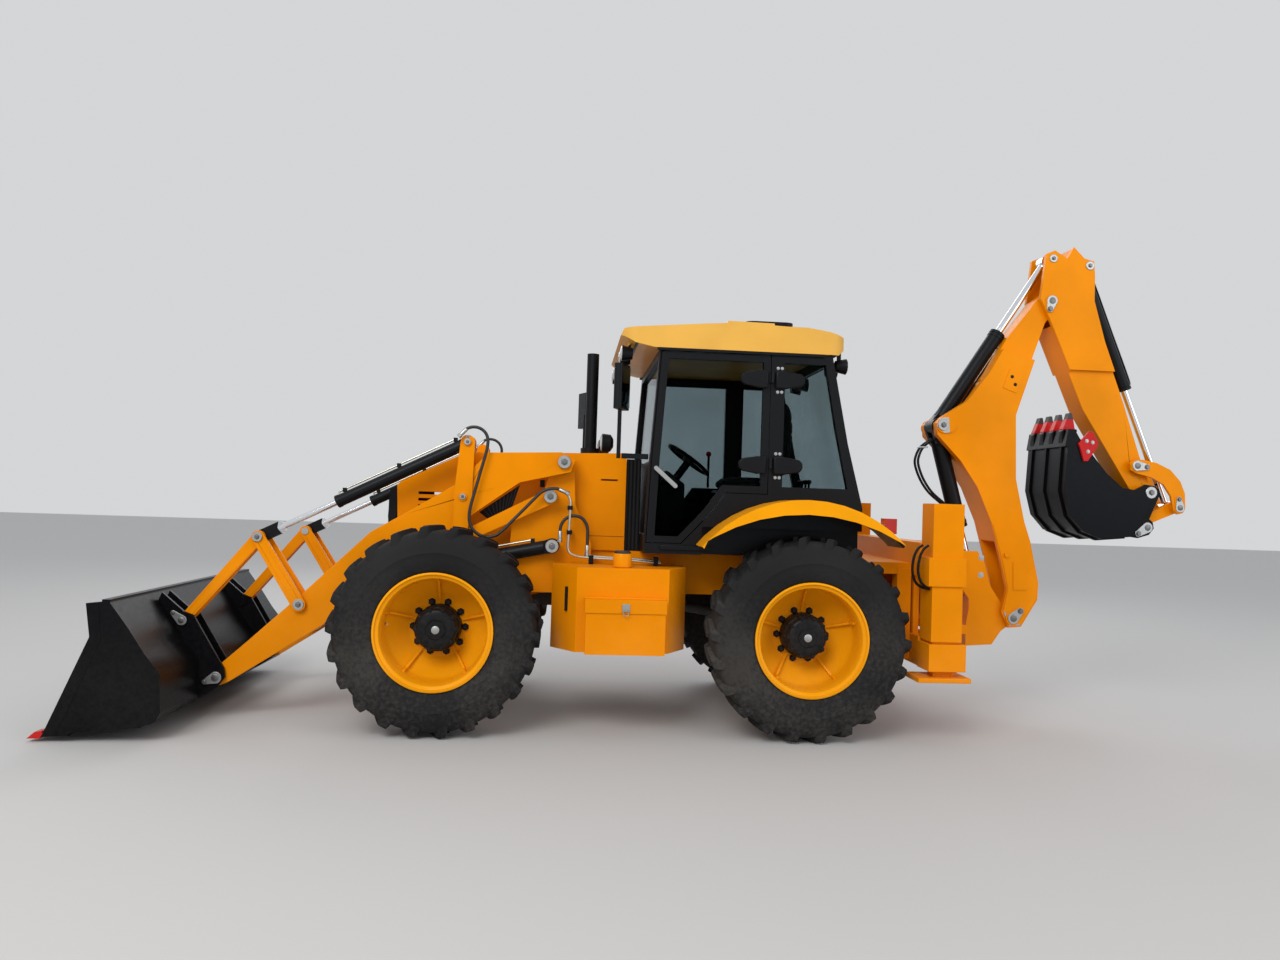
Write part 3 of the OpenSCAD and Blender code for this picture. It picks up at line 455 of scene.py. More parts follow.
# %% Dressing a node
def dress(node, base, *rules, bevel=0.003):
    """Assigns materials to a CAD node; each rule is (material, test of face middles)."""
    ob = nodes[node]
    me = ob.data
    me.materials.clear()
    me.materials.append(materials[base])
    count = len(me.polygons)
    c = np.empty(count * 3)
    me.polygons.foreach_get("center", c)
    c = c.reshape(-1, 3) * 1000 - [X_MID, 0, 0]
    index = np.zeros(count, int)
    for k, (mat, test) in enumerate(rules, 1):
        me.materials.append(materials[mat])
        index[test(*c.T)] = k
    me.polygons.foreach_set("material_index", index)
    if bevel:
        w = ob.modifiers.new("join", "WELD")
        w.merge_threshold = 0.0002
        b = ob.modifiers.new("edge", "BEVEL")
        b.width = bevel
        b.segments = 2
        b.limit_method = "ANGLE"
        b.angle_limit = math.radians(40)
        me.shade_smooth()
        n = ob.modifiers.new("shading", "WEIGHTED_NORMAL")
        n.keep_sharp = False


# %% [markdown]
# The hood, cab, roof, door and fenders have the most regions. Each rule is a small function that says which
# part of the real machine it finds, or where shade is painted on, so that the numbers stay beside their
# meaning.

# %% Regions of the body work
FENDER_C = (-2400, 700)
FENDER_FRONT = -1652
FENDER_INNER_Y, FENDER_OUTER_Y = 770, 1098


def grille_and_stack(x, y, z):
    """What stands before the hood's nose, and the exhaust stack with its foot."""
    return (x > 380.5) | ((z > 1896.5) & (x > -1100) & (x < -900))


def painted_shade_lower_windscreen(x, y, z):
    """The windscreen's lower half, painted black for the shade behind the hood that shows through it."""
    return (x > -1500) & (z < 1850)


def hatch_and_lamps(x, y, z):
    """The roof's hatch, and the lamps that hang before and behind it."""
    lamps = ((x > -1270) | (x < -2640)) & (abs(y) < 700) & (z < 2640)
    return (z > 2845) | lamps


def door_pane(x, y, z):
    """Both faces of the pane, whose middle stands 20 mm inside the door's outer face."""
    return abs(y - (CAB_Y - 20)) < 3.4


def door_handle(x, y, z):
    """What stands out from the door near its front edge."""
    return (y > CAB_Y + 0.5) & (x > -1700)


def fender(x, y, z):
    """The rear fenders."""
    return (x < FENDER_FRONT) & (abs(y) > FENDER_INNER_Y)


def arch_and_cap(x, y, z):
    """The fenders' undersides over the tyres, and the cap of the filler neck."""
    under = np.hypot(x - FENDER_C[0], z - FENDER_C[1]) < 897
    cap_top = (z > 1161) & (x > -1300) & (x < -1100)
    return (fender(x, y, z) & (abs(y) < FENDER_OUTER_Y) & under) | cap_top


def tail_lamp(x, y, z):
    """The blocks behind the fenders."""
    behind = np.hypot(x - FENDER_C[0], z - FENDER_C[1]) > 906
    return (x < -2914) & (abs(y) > 999) & (abs(y) < 1101) & behind & (z < 1501)


# %% Body work
dress("chassis", "yellow")
dress("driveline", "casting", bevel=0.006)
dress("hood", "yellow", ("black", grille_and_stack))
dress("cab", "black", bevel=0.004)
# The windscreen's lower half is painted black as shade.
dress("cab_glass", "glass", ("black", painted_shade_lower_windscreen), bevel=0)
dress("roof", "roof_gold", ("black", hatch_and_lamps), bevel=0.02)
dress("door", "black", ("glass", door_pane), ("zinc", door_handle), bevel=0.003)
dress("fenders_tanks", "yellow", ("gold", fender), ("black", arch_and_cap), ("lens_red", tail_lamp),
      bevel=0.004)
dress("toolbox_lid", "yellow", bevel=0.004)
dress("seat", "plastic", bevel=0.01)
for side in ("left", "right"):
    dress(f"knuckle_{side}", "casting", bevel=0.004)
    dress(f"stabiliser_{side}", "yellow", bevel=0.004)

# %% [markdown]
# On the linkages the arms are painted, the pins are zinc, the barrels are black and the rods are chrome.
# The hoe's pins are part of its boom, so a rule finds them by their distance from the pin's axis.

# %% Pins of the hoe in the side view
SWING_PIN = (-4272, 755)
BOOM_TOP_PIN = (-3681, 2223)
DIPPER_PIN = (-4541, 3231)
DIPPER_ROD_PIN = (-4546, 3565)
SCOOP_BARREL_PIN = (-4844, 3523)
SCOOP_PIN = (-5245, 1487)
SCOOP_LINK_PIN = (-5345, 1759)
LEVER_PIN = (-5245, 1965)
SCOOP_ROD_PIN = (-5600, 1648)


def near_pin(c, r=41):
    """Test for faces within r of the cross axis through c = (x, z)."""
    return lambda x, y, z: np.hypot(x - c[0], z - c[1]) < r


def tip_rod_eye(x, y, z):
    """The tipping rods' eyes, past the end of the chrome."""
    return x > 1130


def corner_tooth(x, y, z):
    """The loader bucket's corner teeth, at the ends of its cutting edge."""
    return (x > 2262) & (abs(y) > 1131) & (z < 86) & (abs(y) < 1203)


def tooth_or_cutter(x, y, z):
    """The hoe bucket's teeth past its lip, and its side cutters outside its cheeks."""
    return ((z > 2219) & (abs(y) < 260)) | (abs(y) > 300.5)


# %% Linkages and buckets
PAINTED = ("loader_arms", "bell_cranks", "levelling_rods", "bucket_links", "guide_pins", "guide_links",
           "carriage", "king_post", "scoop_lever", "scoop_link")
for node in PAINTED:
    dress(node, "yellow")
dress("boom", "yellow", ("zinc", near_pin(SWING_PIN)), ("zinc", near_pin(BOOM_TOP_PIN)), bevel=0.004)
dress("dipper", "yellow", bevel=0.004)
for node in ("lift_barrels", "tip_barrels", "boom_barrel", "dipper_barrel", "scoop_barrel"):
    dress(node, "black")
for node in ("lift_rods", "boom_rod", "dipper_rod", "scoop_rod"):
    dress(node, "chrome", bevel=0)
dress("tip_rods", "chrome", ("black", tip_rod_eye), bevel=0.002)
dress("joint_pins", "zinc", bevel=0.002)
dress("bucket_pins", "zinc", bevel=0.002)
dress("loader_bucket", "bucket", ("red", corner_tooth), bevel=0.003)
dress("hoe_bucket", "bucket", ("red", tooth_or_cutter), bevel=0.003)
print("dressed nodes:", sum(ob.data.materials[0] in materials.values() for ob in nodes.values()))

# %% [markdown]
# ## Wheels
# The tyres are industrial traction tyres: a smooth carcass with long slanting lugs that wrap over the
# shoulder. Displacement from an image would blur the lugs, so each is a mesh of its own. One wheel is
# worked out at the origin, with its axis along Y and its outer side at +Y, and put in its four places. A
# lug's outer face keeps the carcass's round form plus the lug's height, and its flanks lean inwards.

# %% The tyre's carcass
def carcass(n=96):
    """Tyre profile: bead, sidewall with a thin ring, shoulder and crown, turned about Y."""
    half = [(377, 150), (388, 160), (402, 168), (440, 180), (474, 185), (500, 185.5), (508, 188.5),
            (516, 185.5), (548, 183), (585, 172), (612, 160), (632, 146), (645, 118), (650, 60)]
    profile = half + [(r, -y) for r, y in reversed(half)]
    return revolve(np.zeros(3), ACROSS, profile, n=n, closed=True)


# %% One lug
def lug(angle, way, n=9):
    """One lug of a tyre, with stations t from 0 at the crown to 1 on the sidewall. At each station, four
    corners stand at radius r and distance y from the middle: a wide pair at the foot and a narrow pair at the
    top. The top falls off over the shoulder by 84 mm, and the lug leans along the tread as t grows."""
    t = np.linspace(0, 1, n)
    y = -12 + 174 * np.sin(t * np.pi / 2) ** 0.95
    fall = 84 * np.clip((t - 0.72) / 0.28, 0, 1) ** 1.6
    top = WHEEL_R - 2 - 9 * t ** 3 - fall
    foot = np.interp(y, [0, 60, 118, 146, 160, 172], [644, 644, 640, 626, 606, 578]) - 4
    y_top = np.where(t > 0.8, y + 4 * (t - 0.8) / 0.2, y)
    lean = angle + 0.16 * t ** 0.9 * way
    half_w = np.interp(t, [0, 0.15, 0.6, 1], [17, 22, 24, 31])
    pts = np.zeros((n, 4, 3))
    corners = ((foot, 1.30, y), (top, 0.86, y_top), (top, -0.86, y_top), (foot, -1.30, y))
    for k, (r, wide, from_middle) in enumerate(corners):
        a = lean + wide * half_w / WHEEL_R
        pts[:, k] = np.stack([r * np.sin(a), way * from_middle, r * np.cos(a)], 1) / 1000
    v, f = grid(pts, close_v=True)
    f += [(0, 1, 2, 3), tuple(len(v) - 4 + i for i in (3, 2, 1, 0))]
    return (v, f) if way > 0 else (v, [tuple(reversed(q)) for q in f])


# %% [markdown]
# The rim is a deep dish pressed from one sheet, with five ribs welded into it, so its section is one closed
# profile turned about the axis. The hub's nuts and studs are turned too, and placed by their bolt circles.

# %% The rim with its ribs
RIM_SECTION = [
    (RIM_R, 158), (RIM_R + 1, 170), (RIM_R - 3, 173), (RIM_R - 12, 173), (RIM_R - 15, 168), (RIM_R - 17, 158),
    (RIM_R - 36, 150), (RIM_R - 41, 140), (RIM_R - 44, 60), (RIM_R - 45, -16), (RIM_R - 50, -34),
    (RIM_R - 60, -54), (205, -134), (196, -138), (20, -138), (20, -157), (206, -157), (RIM_R - 52, -78),
    (RIM_R - 43, -130), (RIM_R - 22, -148), (RIM_R - 18, -173), (RIM_R, -173), (RIM_R, -158)]
RIB_SECTION = [
    (-139, 160), (-56, RIM_R - 58), (-22, RIM_R - 43), (34, RIM_R - 43), (34, RIM_R - 56), (-20, RIM_R - 66),
    (-106, 208), (-124, 180), (-128, 160)]
RIB_HALF = 7


def rib(angle):
    """A plate with corners (distance along the axis, radius), turned about the axis by the angle."""
    section = np.array(RIB_SECTION, float)
    n = len(section)
    v = np.vstack([np.insert(section, 0, x, axis=1) for x in (-RIB_HALF, RIB_HALF)])
    f = [tuple(range(n)), tuple(reversed(range(n, 2 * n)))]
    f += [(i, i + n, (i + 1) % n + n, (i + 1) % n) for i in range(n)]
    cos, sin = math.cos(angle), math.sin(angle)
    turn = np.array([[cos, 0, sin], [0, 1, 0], [-sin, 0, cos]])
    return v @ turn.T / 1000, f


# %% One wheel
LUGS, RIBS, NUTS = 22, 5, 10
HUB_CIRCLE, NUT_CIRCLE = 0.128, 0.171
HUB_PROFILE = [(152, -138), (152, -40), (146, -30), (134, -24), (132, 26), (126, 34), (112, 40), (64, 42),
               (60, 50), (0, 52)]
CAP_PROFILE = [(26, 0), (26, 3), (22, 5), (0, 5)]
hub = [revolve(np.zeros(3), ACROSS, HUB_PROFILE, n=60)]
for k in range(NUTS):
    a = 2 * np.pi * (k + 0.5) / NUTS
    at = np.array([math.sin(a), 0, math.cos(a)])
    hub.append(revolve(at * HUB_CIRCLE + [0, -0.02, 0], ACROSS, [(19, 0), (19, 46), (15, 52), (0, 52)], n=16))
    hub.append(bolt(at * HUB_CIRCLE + [0, 0.032, 0], ACROSS, 22, 10))
    hub.append(bolt(at * NUT_CIRCLE + [0, -0.138, 0], ACROSS, 36, 26))
turns = [2 * np.pi * k / LUGS for k in range(LUGS)]
lugs = [lug(a + way_turn, way) for a in turns for way_turn, way in ((0, 1), (np.pi / LUGS, -1))]
valve = np.array([(0.335, -0.03, 0.03), (0.325, 0.0, 0.03), (0.312, 0.03, 0.03)])
# Piece of the wheel: its material and its shapes
WHEEL = {
    "tyre": ("rubber", [carcass()] + lugs),
    "rim": ("gold", [revolve(np.zeros(3), ACROSS, RIM_SECTION, n=72, closed=True)]
            + [rib(2 * np.pi * k / RIBS) for k in range(RIBS)]),
    "hub": ("black", hub),
    "valve_cap": ("zinc", [revolve(np.array([0, 0.052, 0]), ACROSS, CAP_PROFILE, n=24), tube(valve, 5, 8)]),
}

# %% Four wheels
for end, x in (("front", 0.0), ("rear", -WHEELBASE)):
    for side, s in (("left", 1), ("right", -1)):
        body = f"wheel_{end}_{side}"
        for piece, (mat, shapes) in WHEEL.items():
            v, f = joined(shapes)
            v = v * [1, s, 1] + place(x, s * WHEEL_Y, WHEEL_R)
            f = f if s > 0 else [tuple(reversed(q)) for q in f]
            ob = build(f"{piece}_{end}_{side}", v, f, mat, bevel=0.0035 if mat == "rubber" else 0)
            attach(ob, body)
            if mat == "rubber":
                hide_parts(body)
print("lugs on a tyre:", len(lugs))

# %% [markdown]
# ## Pins, washers and keepers
# A pin may not turn or creep out, so on the real machine it ends in a washer with a bolt, or in a teardrop
# plate that a bolt beside it holds. Both are tiny, but they are what makes a linkage look real. They are
# turned shapes and plates, always made for both sides of the machine at once.

# %% Ends of pins
def cap(body, c, y, r):
    """A washer and hexagon on the pin at c = (x, z), outside the plane y, on both sides."""
    centre = place(c[0], y, c[1])
    washer = revolve(centre, ACROSS, [(r, 0), (r, 5), (r - 3, 8), (r * 0.5, 8), (0, 8)], n=32)
    add("washers", body, "zinc", both_sides(washer))
    add("hexagons", body, "steel", both_sides(bolt(centre + [0, 0.007, 0], ACROSS, r * 0.75, 13)))


def keeper(body, c, y, r, tail, r2):
    """A teardrop keeper plate round the pin at c, held by one bolt in its tail."""
    disc_profile = [(r * 0.62, 0), (r * 0.62, 2), (r * 0.5, 4), (0, 4)]
    disc = revolve(place(c[0], y + 6, c[1]), ACROSS, disc_profile, n=28)
    add("keepers", body, "zinc", both_sides(plate(drop(c, r, tail, r2), y, y + 7)), bevel=0.002)
    add("hexagons", body, "steel", both_sides(bolt(place(tail[0], y + 6, tail[1]), ACROSS, r2 * 1.3, 12)))
    add("hexagons", body, "steel", both_sides(disc))


# %% Pins of the loader
LIFT_PIN = (-728, 1230)
TIP_PIN = (-127, 1930)
# Body, pin, plane of its end, radius of the washer
for body, c, y, r in [
        ("machine", (-794, 1815), 616, 46), ("machine", (-706, 1573), 616, 46),
        ("machine", LIFT_PIN, 616, 46),
        ("bell_cranks", (-107, 1553), 629, 22), ("bell_cranks", TIP_PIN, 629, 24),
        ("bell_cranks", (-127, 1965), 615, 13), ("bell_cranks", (-95, 1265), 629, 24),
        ("guide_pins", (961, 788), 625, 38), ("joint_pins", (1246, 1237), 635, 34)]:
    cap(body, c, y, r)
keeper("loader_bucket", (1712, 668), 637, 34, (1768, 716), 17)
keeper("bucket_pins", (1479, 290), 635, 40, (1545, 262), 18)

# %% [markdown]
# The hoe's pins have teardrop keepers on ovals of plate, and round caps where a pin shows its whole end.
# Its bucket hangs on a pin between two cheek plates.

# %% Pins of the hoe
# Body, pin, plane of the plate under its keeper, its radius, its tail, the tail's radius
for body, c, y, r, tail, r2 in [
        ("boom", SWING_PIN, 156, 58, (-4326, 810), 42), ("dipper", DIPPER_PIN, 130, 54, (-4526, 3176), 40),
        ("scoop_lever", SCOOP_ROD_PIN, 158, 44, (-5592, 1712), 34)]:
    add("pin_pads", body, "yellow", both_sides(plate(drop(c, r, tail, r2), y, y + 5)), bevel=0.002)
keeper("boom", SWING_PIN, 161, 44, (-4326, 812), 26)
keeper("dipper", DIPPER_PIN, 135, 42, (-4524, 3166), 25)
keeper("scoop_lever", LEVER_PIN, 164, 40, (-5322, 1957), 24)
keeper("scoop_lever", SCOOP_ROD_PIN, 163, 36, (-5592, 1714), 21)
keeper("hoe_bucket", SCOOP_PIN, 301, 40, (-5172, 1440), 24)
CHEEK = [(-5110, 1412), (-5172, 1404), (-5262, 1432), (-5300, 1482), (-5290, 1530), (-5244, 1566),
         (-5221, 1560), (-5198, 1468)]
scoop_pin = revolve(place(SCOOP_PIN[0], 188, SCOOP_PIN[1]), ACROSS, [(24, 0), (24, 96)], n=24)
add("cheeks", "hoe_bucket", "bucket", both_sides(plate(CHEEK, 282, 301)), bevel=0.003)
add("cheeks", "hoe_bucket", "zinc", both_sides(scoop_pin))
for body, c, y, r in [
        ("boom", BOOM_TOP_PIN, 162, 44), ("dipper", SCOOP_BARREL_PIN, 130, 34),
        ("dipper", DIPPER_ROD_PIN, 130, 32), ("hoe_bucket", SCOOP_LINK_PIN, 190, 46)]:
    cap(body, c, y, r)


# %% Bolts of the hoe
def bolts(label, body, mat, y, size, height, spots):
    """Bolts across the machine, at (x, z) spots in the plane y, on both sides."""
    heads = [bolt(place(x, y, z), ACROSS, size, height) for x, z in spots]
    add(label, body, mat, both_sides(joined(heads)))


bolts("pad_bolts", "boom", "black", 155, 20, 8, [(-4222, 2620), (-4248, 2560)])
bolts("pad_bolts", "king_post", "zinc", 109.5, 34, 4, [(-4030, 1212), (-4030, 1078)])
bolts("cutter_bolts", "hoe_bucket", "zinc", 317, 22, 8, [(-4740, 2130), (-4786, 2120), (-4752, 2050)])

# %% [markdown]
# A digging bucket wears at its lip. So the lip is a thick cutting edge with welded adapters, and each
# adapter carries a socket and a tip that are changed when worn. All of them are plates along the bucket's
# width, and the four teeth are one loop.

# %% The hoe's teeth
EDGE = [(-4582, 2084), (-4604, 2218), (-4668, 2218), (-4672, 2205), (-4622, 2078)]
ADAPTER = [(-4586, 2112), (-4587, 2206), (-4596, 2219), (-4682, 2219), (-4688, 2208), (-4676, 2116)]
SOCKET = [(-4589, 2219), (-4596, 2236), (-4621, 2300), (-4671, 2300), (-4683, 2236), (-4687, 2219)]
TIP_OF_TOOTH = [(-4624, 2298), (-4639, 2347), (-4659, 2347), (-4669, 2298)]
TOOTH_STEP = 144
add("cutting_edge", "hoe_bucket", "bucket", plate(EDGE, -299, 299), bevel=0.003)
for k in range(4):
    y = (k - 1.5) * TOOTH_STEP
    add("tooth_adapters", "hoe_bucket", "bucket", plate(ADAPTER, y - 31, y + 31), bevel=0.004)
    add("tooth_sockets", "hoe_bucket", "red", plate(SOCKET, y - 30, y + 30), bevel=0.004)
    add("tooth_tips", "hoe_bucket", "casting", plate(TIP_OF_TOOTH, y - 31, y + 31), bevel=0.003)
print("gathered so far:", len(gathered), "pieces")

# %% [markdown]
# ## Door, hinges and cab trim
# The door hangs on two strap hinges. Half of each strap is bolted to the cab's post and half of it holds
# the door, so the halves ride different bodies and part when the door opens. A strap could be carved from a
# box. Here it is a plate whose outline is the same above and below its middle line, so only half of it is
# written.

# %% Hinges
STRAP_ON_CAB = [(-2222, 60), (-2300, 60), (-2400, 44), (-2424, 20)]
STRAP_ON_DOOR = [(-2165, 60), (-2100, 60), (-2000, 42), (-1976, 18)]


def strap(half, z, y0, y1):
    """A plate whose half outline is a list of (x, distance from the middle line at height z)."""
    outline = [(x, z - h) for x, h in half] + [(x, z + h) for x, h in reversed(half)]
    return plate(outline, y0, y1)


for z in (2425, 1835):
    add("hinge_arms", "machine", "black", strap(STRAP_ON_CAB, z, CAB_Y + 3, CAB_Y + 30), bevel=0.008)
    add("hinge_arms", "door", "black", strap(STRAP_ON_DOOR, z, CAB_Y + 9, CAB_Y + 38), bevel=0.008)
    for x in (-2240, -2268):
        for dz in (-82, 82):
            add("hinge_bolts", "machine", "zinc", bolt(place(x, CAB_Y, z + dz), ACROSS, 17, 6))
gutter = box((-2555, CAB_Y + 1, 2614), (-1405, CAB_Y + 17, 2650))
add("cab_trim", "machine", "plastic", both_sides(gutter), bevel=0.003)
add("door_sill", "machine", "black", box((-1820, CAB_Y, 1238), (-1460, CAB_Y + 20, 1268)), bevel=0.003)

# %% [markdown]
# Through the glass one sees the driver's controls as dark outlines. The steering wheel's rim is in the CAD
# model. Its hub and spokes, the knobs of the levers, the mat and the dials are turned shapes, tubes and
# plates, only as fine as the tinted glass lets them show.

# %% Inside the cab
STEERING = place(-1740, 0, 1890)
SPOKES = 3
tilt = math.radians(-35)
column = np.array([math.sin(tilt), 0, math.cos(tilt)])
e1, e2 = axes(column)[1:]
boss = revolve(STEERING - column * 0.02, column, [(46, 0), (46, 24), (38, 34), (0, 36)], n=32)
add("steering_hub", "machine", "plastic", boss)
for k in range(SPOKES):
    a = 2 * np.pi * k / SPOKES + 0.5
    out = math.cos(a) * e1 + math.sin(a) * e2
    add("steering_hub", "machine", "plastic", tube([STEERING + out * r for r in (0.03, 0.10, 0.176)], 9, 8))
KNOB = [(0, 0), (16, 6), (22, 20), (16, 34), (0, 40)]
RED_KNOB = [(0, 0), (18, 8), (24, 24), (16, 42), (0, 46)]
for y in range(-150, 151, 100):
    add("lever_knobs", "machine", "plastic", revolve(place(-2645, y, 1728), UP, KNOB, n=20))
add("lever_knobs", "machine", "red", revolve(place(-1960, -430, 1940), UP, RED_KNOB, n=20))
add("floor_mat", "machine", "rubber", box((-2590, -630, 1262), (-1420, 630, 1268)), bevel=0.002)
PANEL = [(-1700, 1700), (-1500, 1700), (-1500, 1770), (-1560, 1800), (-1660, 1730)]
add("instrument_panel", "machine", "plastic", plate(PANEL, -150, 150), bevel=0.01)
for y in (-80, 0, 80):
    dial = revolve(place(-1607, y, 1768), (-0.57, 0, 0.82), [(26, 0), (26, 4), (0, 4)], n=28)
    add("dials", "machine", "white", dial)
print("gathered so far:", len(gathered), "pieces")

# %% [markdown]
# ## Lamps and mirrors
# The work lamps' housings are part of the roof, so only their lenses are added: shallow domes of a glass
# that is half dull, because a real lens scatters light. The two lamps on the hood also get a turned shell
# on a small foot. The mirrors' housings are part of the cab, and each gets one four-sided face of pure
# metal, turned out by 22 degrees as a driver would set it.

# %% Lamps
AHEAD, BACK = (1, 0, 0), (-1, 0, 0)
LENS = [(52, 0), (50, 5), (30, 10), (0, 12)]
HEAD_LENS = [(60, 0), (56, 8), (30, 14), (0, 16)]
HEAD_SHELL = [(30, -50), (62, -30), (68, 30), (60, 34)]
for s in (1, -1):
    for y in (400, 640):
        add("lamp_lenses", "machine", "lens", revolve(place(-1166, s * y, 2585), AHEAD, LENS, n=32))
        add("lamp_lenses", "machine", "lens", revolve(place(-2754, s * y, 2560), BACK, LENS, n=32))
add("head_lamps", "machine", "black", both_sides(revolve(place(-1090, 345, 1975), AHEAD, HEAD_SHELL, n=36)))
add("head_lamps", "machine", "black", both_sides(box((-1104, 325, 1890), (-1076, 365, 1930))))
add("lamp_lenses", "machine", "lens", both_sides(revolve(place(-1058, 345, 1975), AHEAD, HEAD_LENS, n=36)))

# %% Mirrors
GLASS_IN = 0.0315
GLASS_CORNERS = np.array([(-0.08, -0.135), (0.08, -0.135), (0.08, 0.135), (-0.08, 0.135)])
for s, x in ((1, -1160), (-1, -945)):
    turn = math.radians(-22 * s)
    facing = np.array([math.cos(turn), math.sin(turn), 0])
    aside = np.array([-math.sin(turn), math.cos(turn), 0])
    middle = place(x, s * 880, 2320) - facing * GLASS_IN
    corners = middle + GLASS_CORNERS @ np.array([aside, UP])
    add("mirror_glasses", "machine", "mirror", (corners, [(0, 1, 2, 3)]), smooth=False)
print("lenses:", len(gathered["lamp_lenses", "machine", "lens"]["v"]), "shapes")

# %% [markdown]
# ## Hoses
# Oil reaches the cylinders through rubber hoses, which hang in free loops between their fittings so that
# the cylinders can turn. A simulated rope would find its own shape, but the near two show in the photo, so
# their routes are lists of points read from it. The far two are their mirror images. Each stands for its
# tube in the CAD model.

# %% Routes of the hoses on one side, as (x, z)
TIP_HOSE = [
    (-90, 1985), (-121, 2018), (-164, 2032), (-209, 2025), (-246, 1998), (-265, 1957), (-266, 1911),
    (-259, 1866), (-248, 1822), (-237, 1777), (-225, 1733), (-214, 1688), (-203, 1644), (-192, 1599),
    (-181, 1555), (-170, 1511), (-161, 1466), (-158, 1420), (-164, 1375), (-184, 1334), (-218, 1303),
    (-260, 1286), (-305, 1284), (-349, 1298), (-385, 1326), (-416, 1359), (-447, 1393), (-478, 1426),
    (-510, 1460), (-541, 1493), (-572, 1527), (-603, 1560), (-635, 1594), (-673, 1618), (-718, 1629),
    (-763, 1625), (-805, 1607)]
LIFT_HOSE = [
    (-781, 1294), (-781, 1327), (-782, 1360), (-792, 1391), (-811, 1418), (-838, 1436), (-869, 1444),
    (-901, 1442), (-930, 1428), (-952, 1404), (-966, 1375), (-971, 1342), (-971, 1306), (-971, 1270),
    (-971, 1235), (-971, 1200)]
HOSE_R = 11.0
HOSES = (("tip_hose", TIP_HOSE, 646), ("lift_hose", LIFT_HOSE, 622))

# %% Hoses
for label, route, y in HOSES:
    for side, s in (("left", 1), ("right", -1)):
        path = smooth_path([place(x, s * y, z) for x, z in route], 120)
        ob = build(f"{label}_{side}", *tube(path, HOSE_R, 14), "hose")
        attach(ob, "machine")
        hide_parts("hoses")

# %% Fittings of the hoses
SLEEVE = [(9, 0), (14, 2), (14, 52), (11.5, 56)]
NUT = [(16, 0), (17, 3), (17, 19), (16, 22)]


def ferrule(p, q):
    """A crimped sleeve with its nut on the end p of a hose that goes on towards q."""
    d = (q - p) / np.linalg.norm(q - p)
    add("hose_ends", "machine", "zinc", revolve(p - d * 0.012, d, SLEEVE, n=16))
    add("hose_ends", "machine", "zinc", revolve(p - d * 0.034, d, NUT, n=6))


for s in (1, -1):
    for _, route, y in HOSES:
        ends = [place(x, s * y, z) for x, z in route]
        ferrule(ends[0], ends[1])
        ferrule(ends[-1], ends[-2])

# %% [markdown]
# ## Pipes
# Between the hoses the oil runs in bent steel pipes, held by clamps. They lie on the barrels of the
# loader's cylinders, go down the towers and follow the frame. Each is a circle carried along a smooth path
# through a few bends. A curve object with a round bevel would look the same, but a mesh has the same form
# in every export.

# %% Pipes of the loader
ARM_Y = 557


def steel_pipe(body, points, radius):
    """A bent pipe through points (x, y, z) in mm, with its mirror image on the other side."""
    path = smooth_path(places(points), 40)
    add("steel_pipes", body, "pipe", both_sides(tube(path, radius, 10)))


def along(p, q, s, off=0.0):
    """The point s mm from p towards q in the side view, and off mm to the left of that way."""
    d = np.subtract(q, p) / math.dist(p, q)
    return p + d * s + np.array([-d[1], d[0]]) * off


def gland(p, q, s, y, profile):
    """The ring at the end of a barrel, s mm from p towards q."""
    c = along(p, q, s)
    return revolve(place(c[0], y, c[1]), np.insert(np.subtract(q, p), 1, 0), profile, n=32)


# Body, rear pin, front pin, radius of the barrel, start and end of its pipe
for body, p, q, r, s0, s1 in [
        ("tip_barrels", TIP_PIN, (1246, 1237), 42, 66, 930),
        ("lift_barrels", LIFT_PIN, (620, 950), 48, 118, 690)]:
    a, b = along(p, q, s0, r + 16), along(p, q, s1, r + 16)
    bends = [a + (b - a) * t for t in (0, 0.25, 0.5, 0.75, 0.97)]
    bends += [b + [6, -4], along(p, q, s1 + 14, r - 4)]
    steel_pipe(body, np.insert(bends, 1, ARM_Y, axis=1), 7)
    for s in (s0 + 8, (s0 + s1) / 2, s1 - 30):
        x, z = along(p, q, s, r + 10)
        clamp = box((x - 14, ARM_Y - 11, z - 14), (x + 14, ARM_Y + 11, z + 16))
        add("pipe_clamps", body, "black", both_sides(clamp), bevel=0.002)
    ring = gland(p, q, s1 + 26, ARM_Y, [(r + 3, 0), (r + 3, 24), (r - 1, 27)])
    add("glands", body, "black", both_sides(ring))

# %% Pipes down the towers and along the frame
steel_pipe("machine", [
    (-808, 646, 1604), (-826, 646, 1588), (-842, 646, 1556), (-846, 646, 1500), (-840, 646, 1300),
    (-838, 646, 1226), (-852, 644, 1190), (-900, 640, 1168), (-1000, 636, 1158), (-1300, 632, 1146),
    (-1483, 630, 1134)], 9)
steel_pipe("machine", [
    (-971, 622, 1204), (-974, 622, 1184), (-990, 618, 1172), (-1050, 612, 1166), (-1300, 606, 1156),
    (-1483, 604, 1146)], 9)
for z in (1500, 1330):
    clamp = box((-862, 500, z - 14), (-826, 660, z + 14))
    add("pipe_clamps", "machine", "black", both_sides(clamp), bevel=0.002)
for x in (-1000, -1250, -1450):
    clamp = box((x - 16, 590, 1116), (x + 16, 652, 1176))
    add("pipe_clamps", "machine", "black", both_sides(clamp), bevel=0.002)

# %% [markdown]
# The hoe's pipes are painted black. Two of them bow out before the boom's cylinder, and one each follows
# the cylinders of the dipper and of the bucket. The stabilisers have a pair of bent ones at the rear frame.

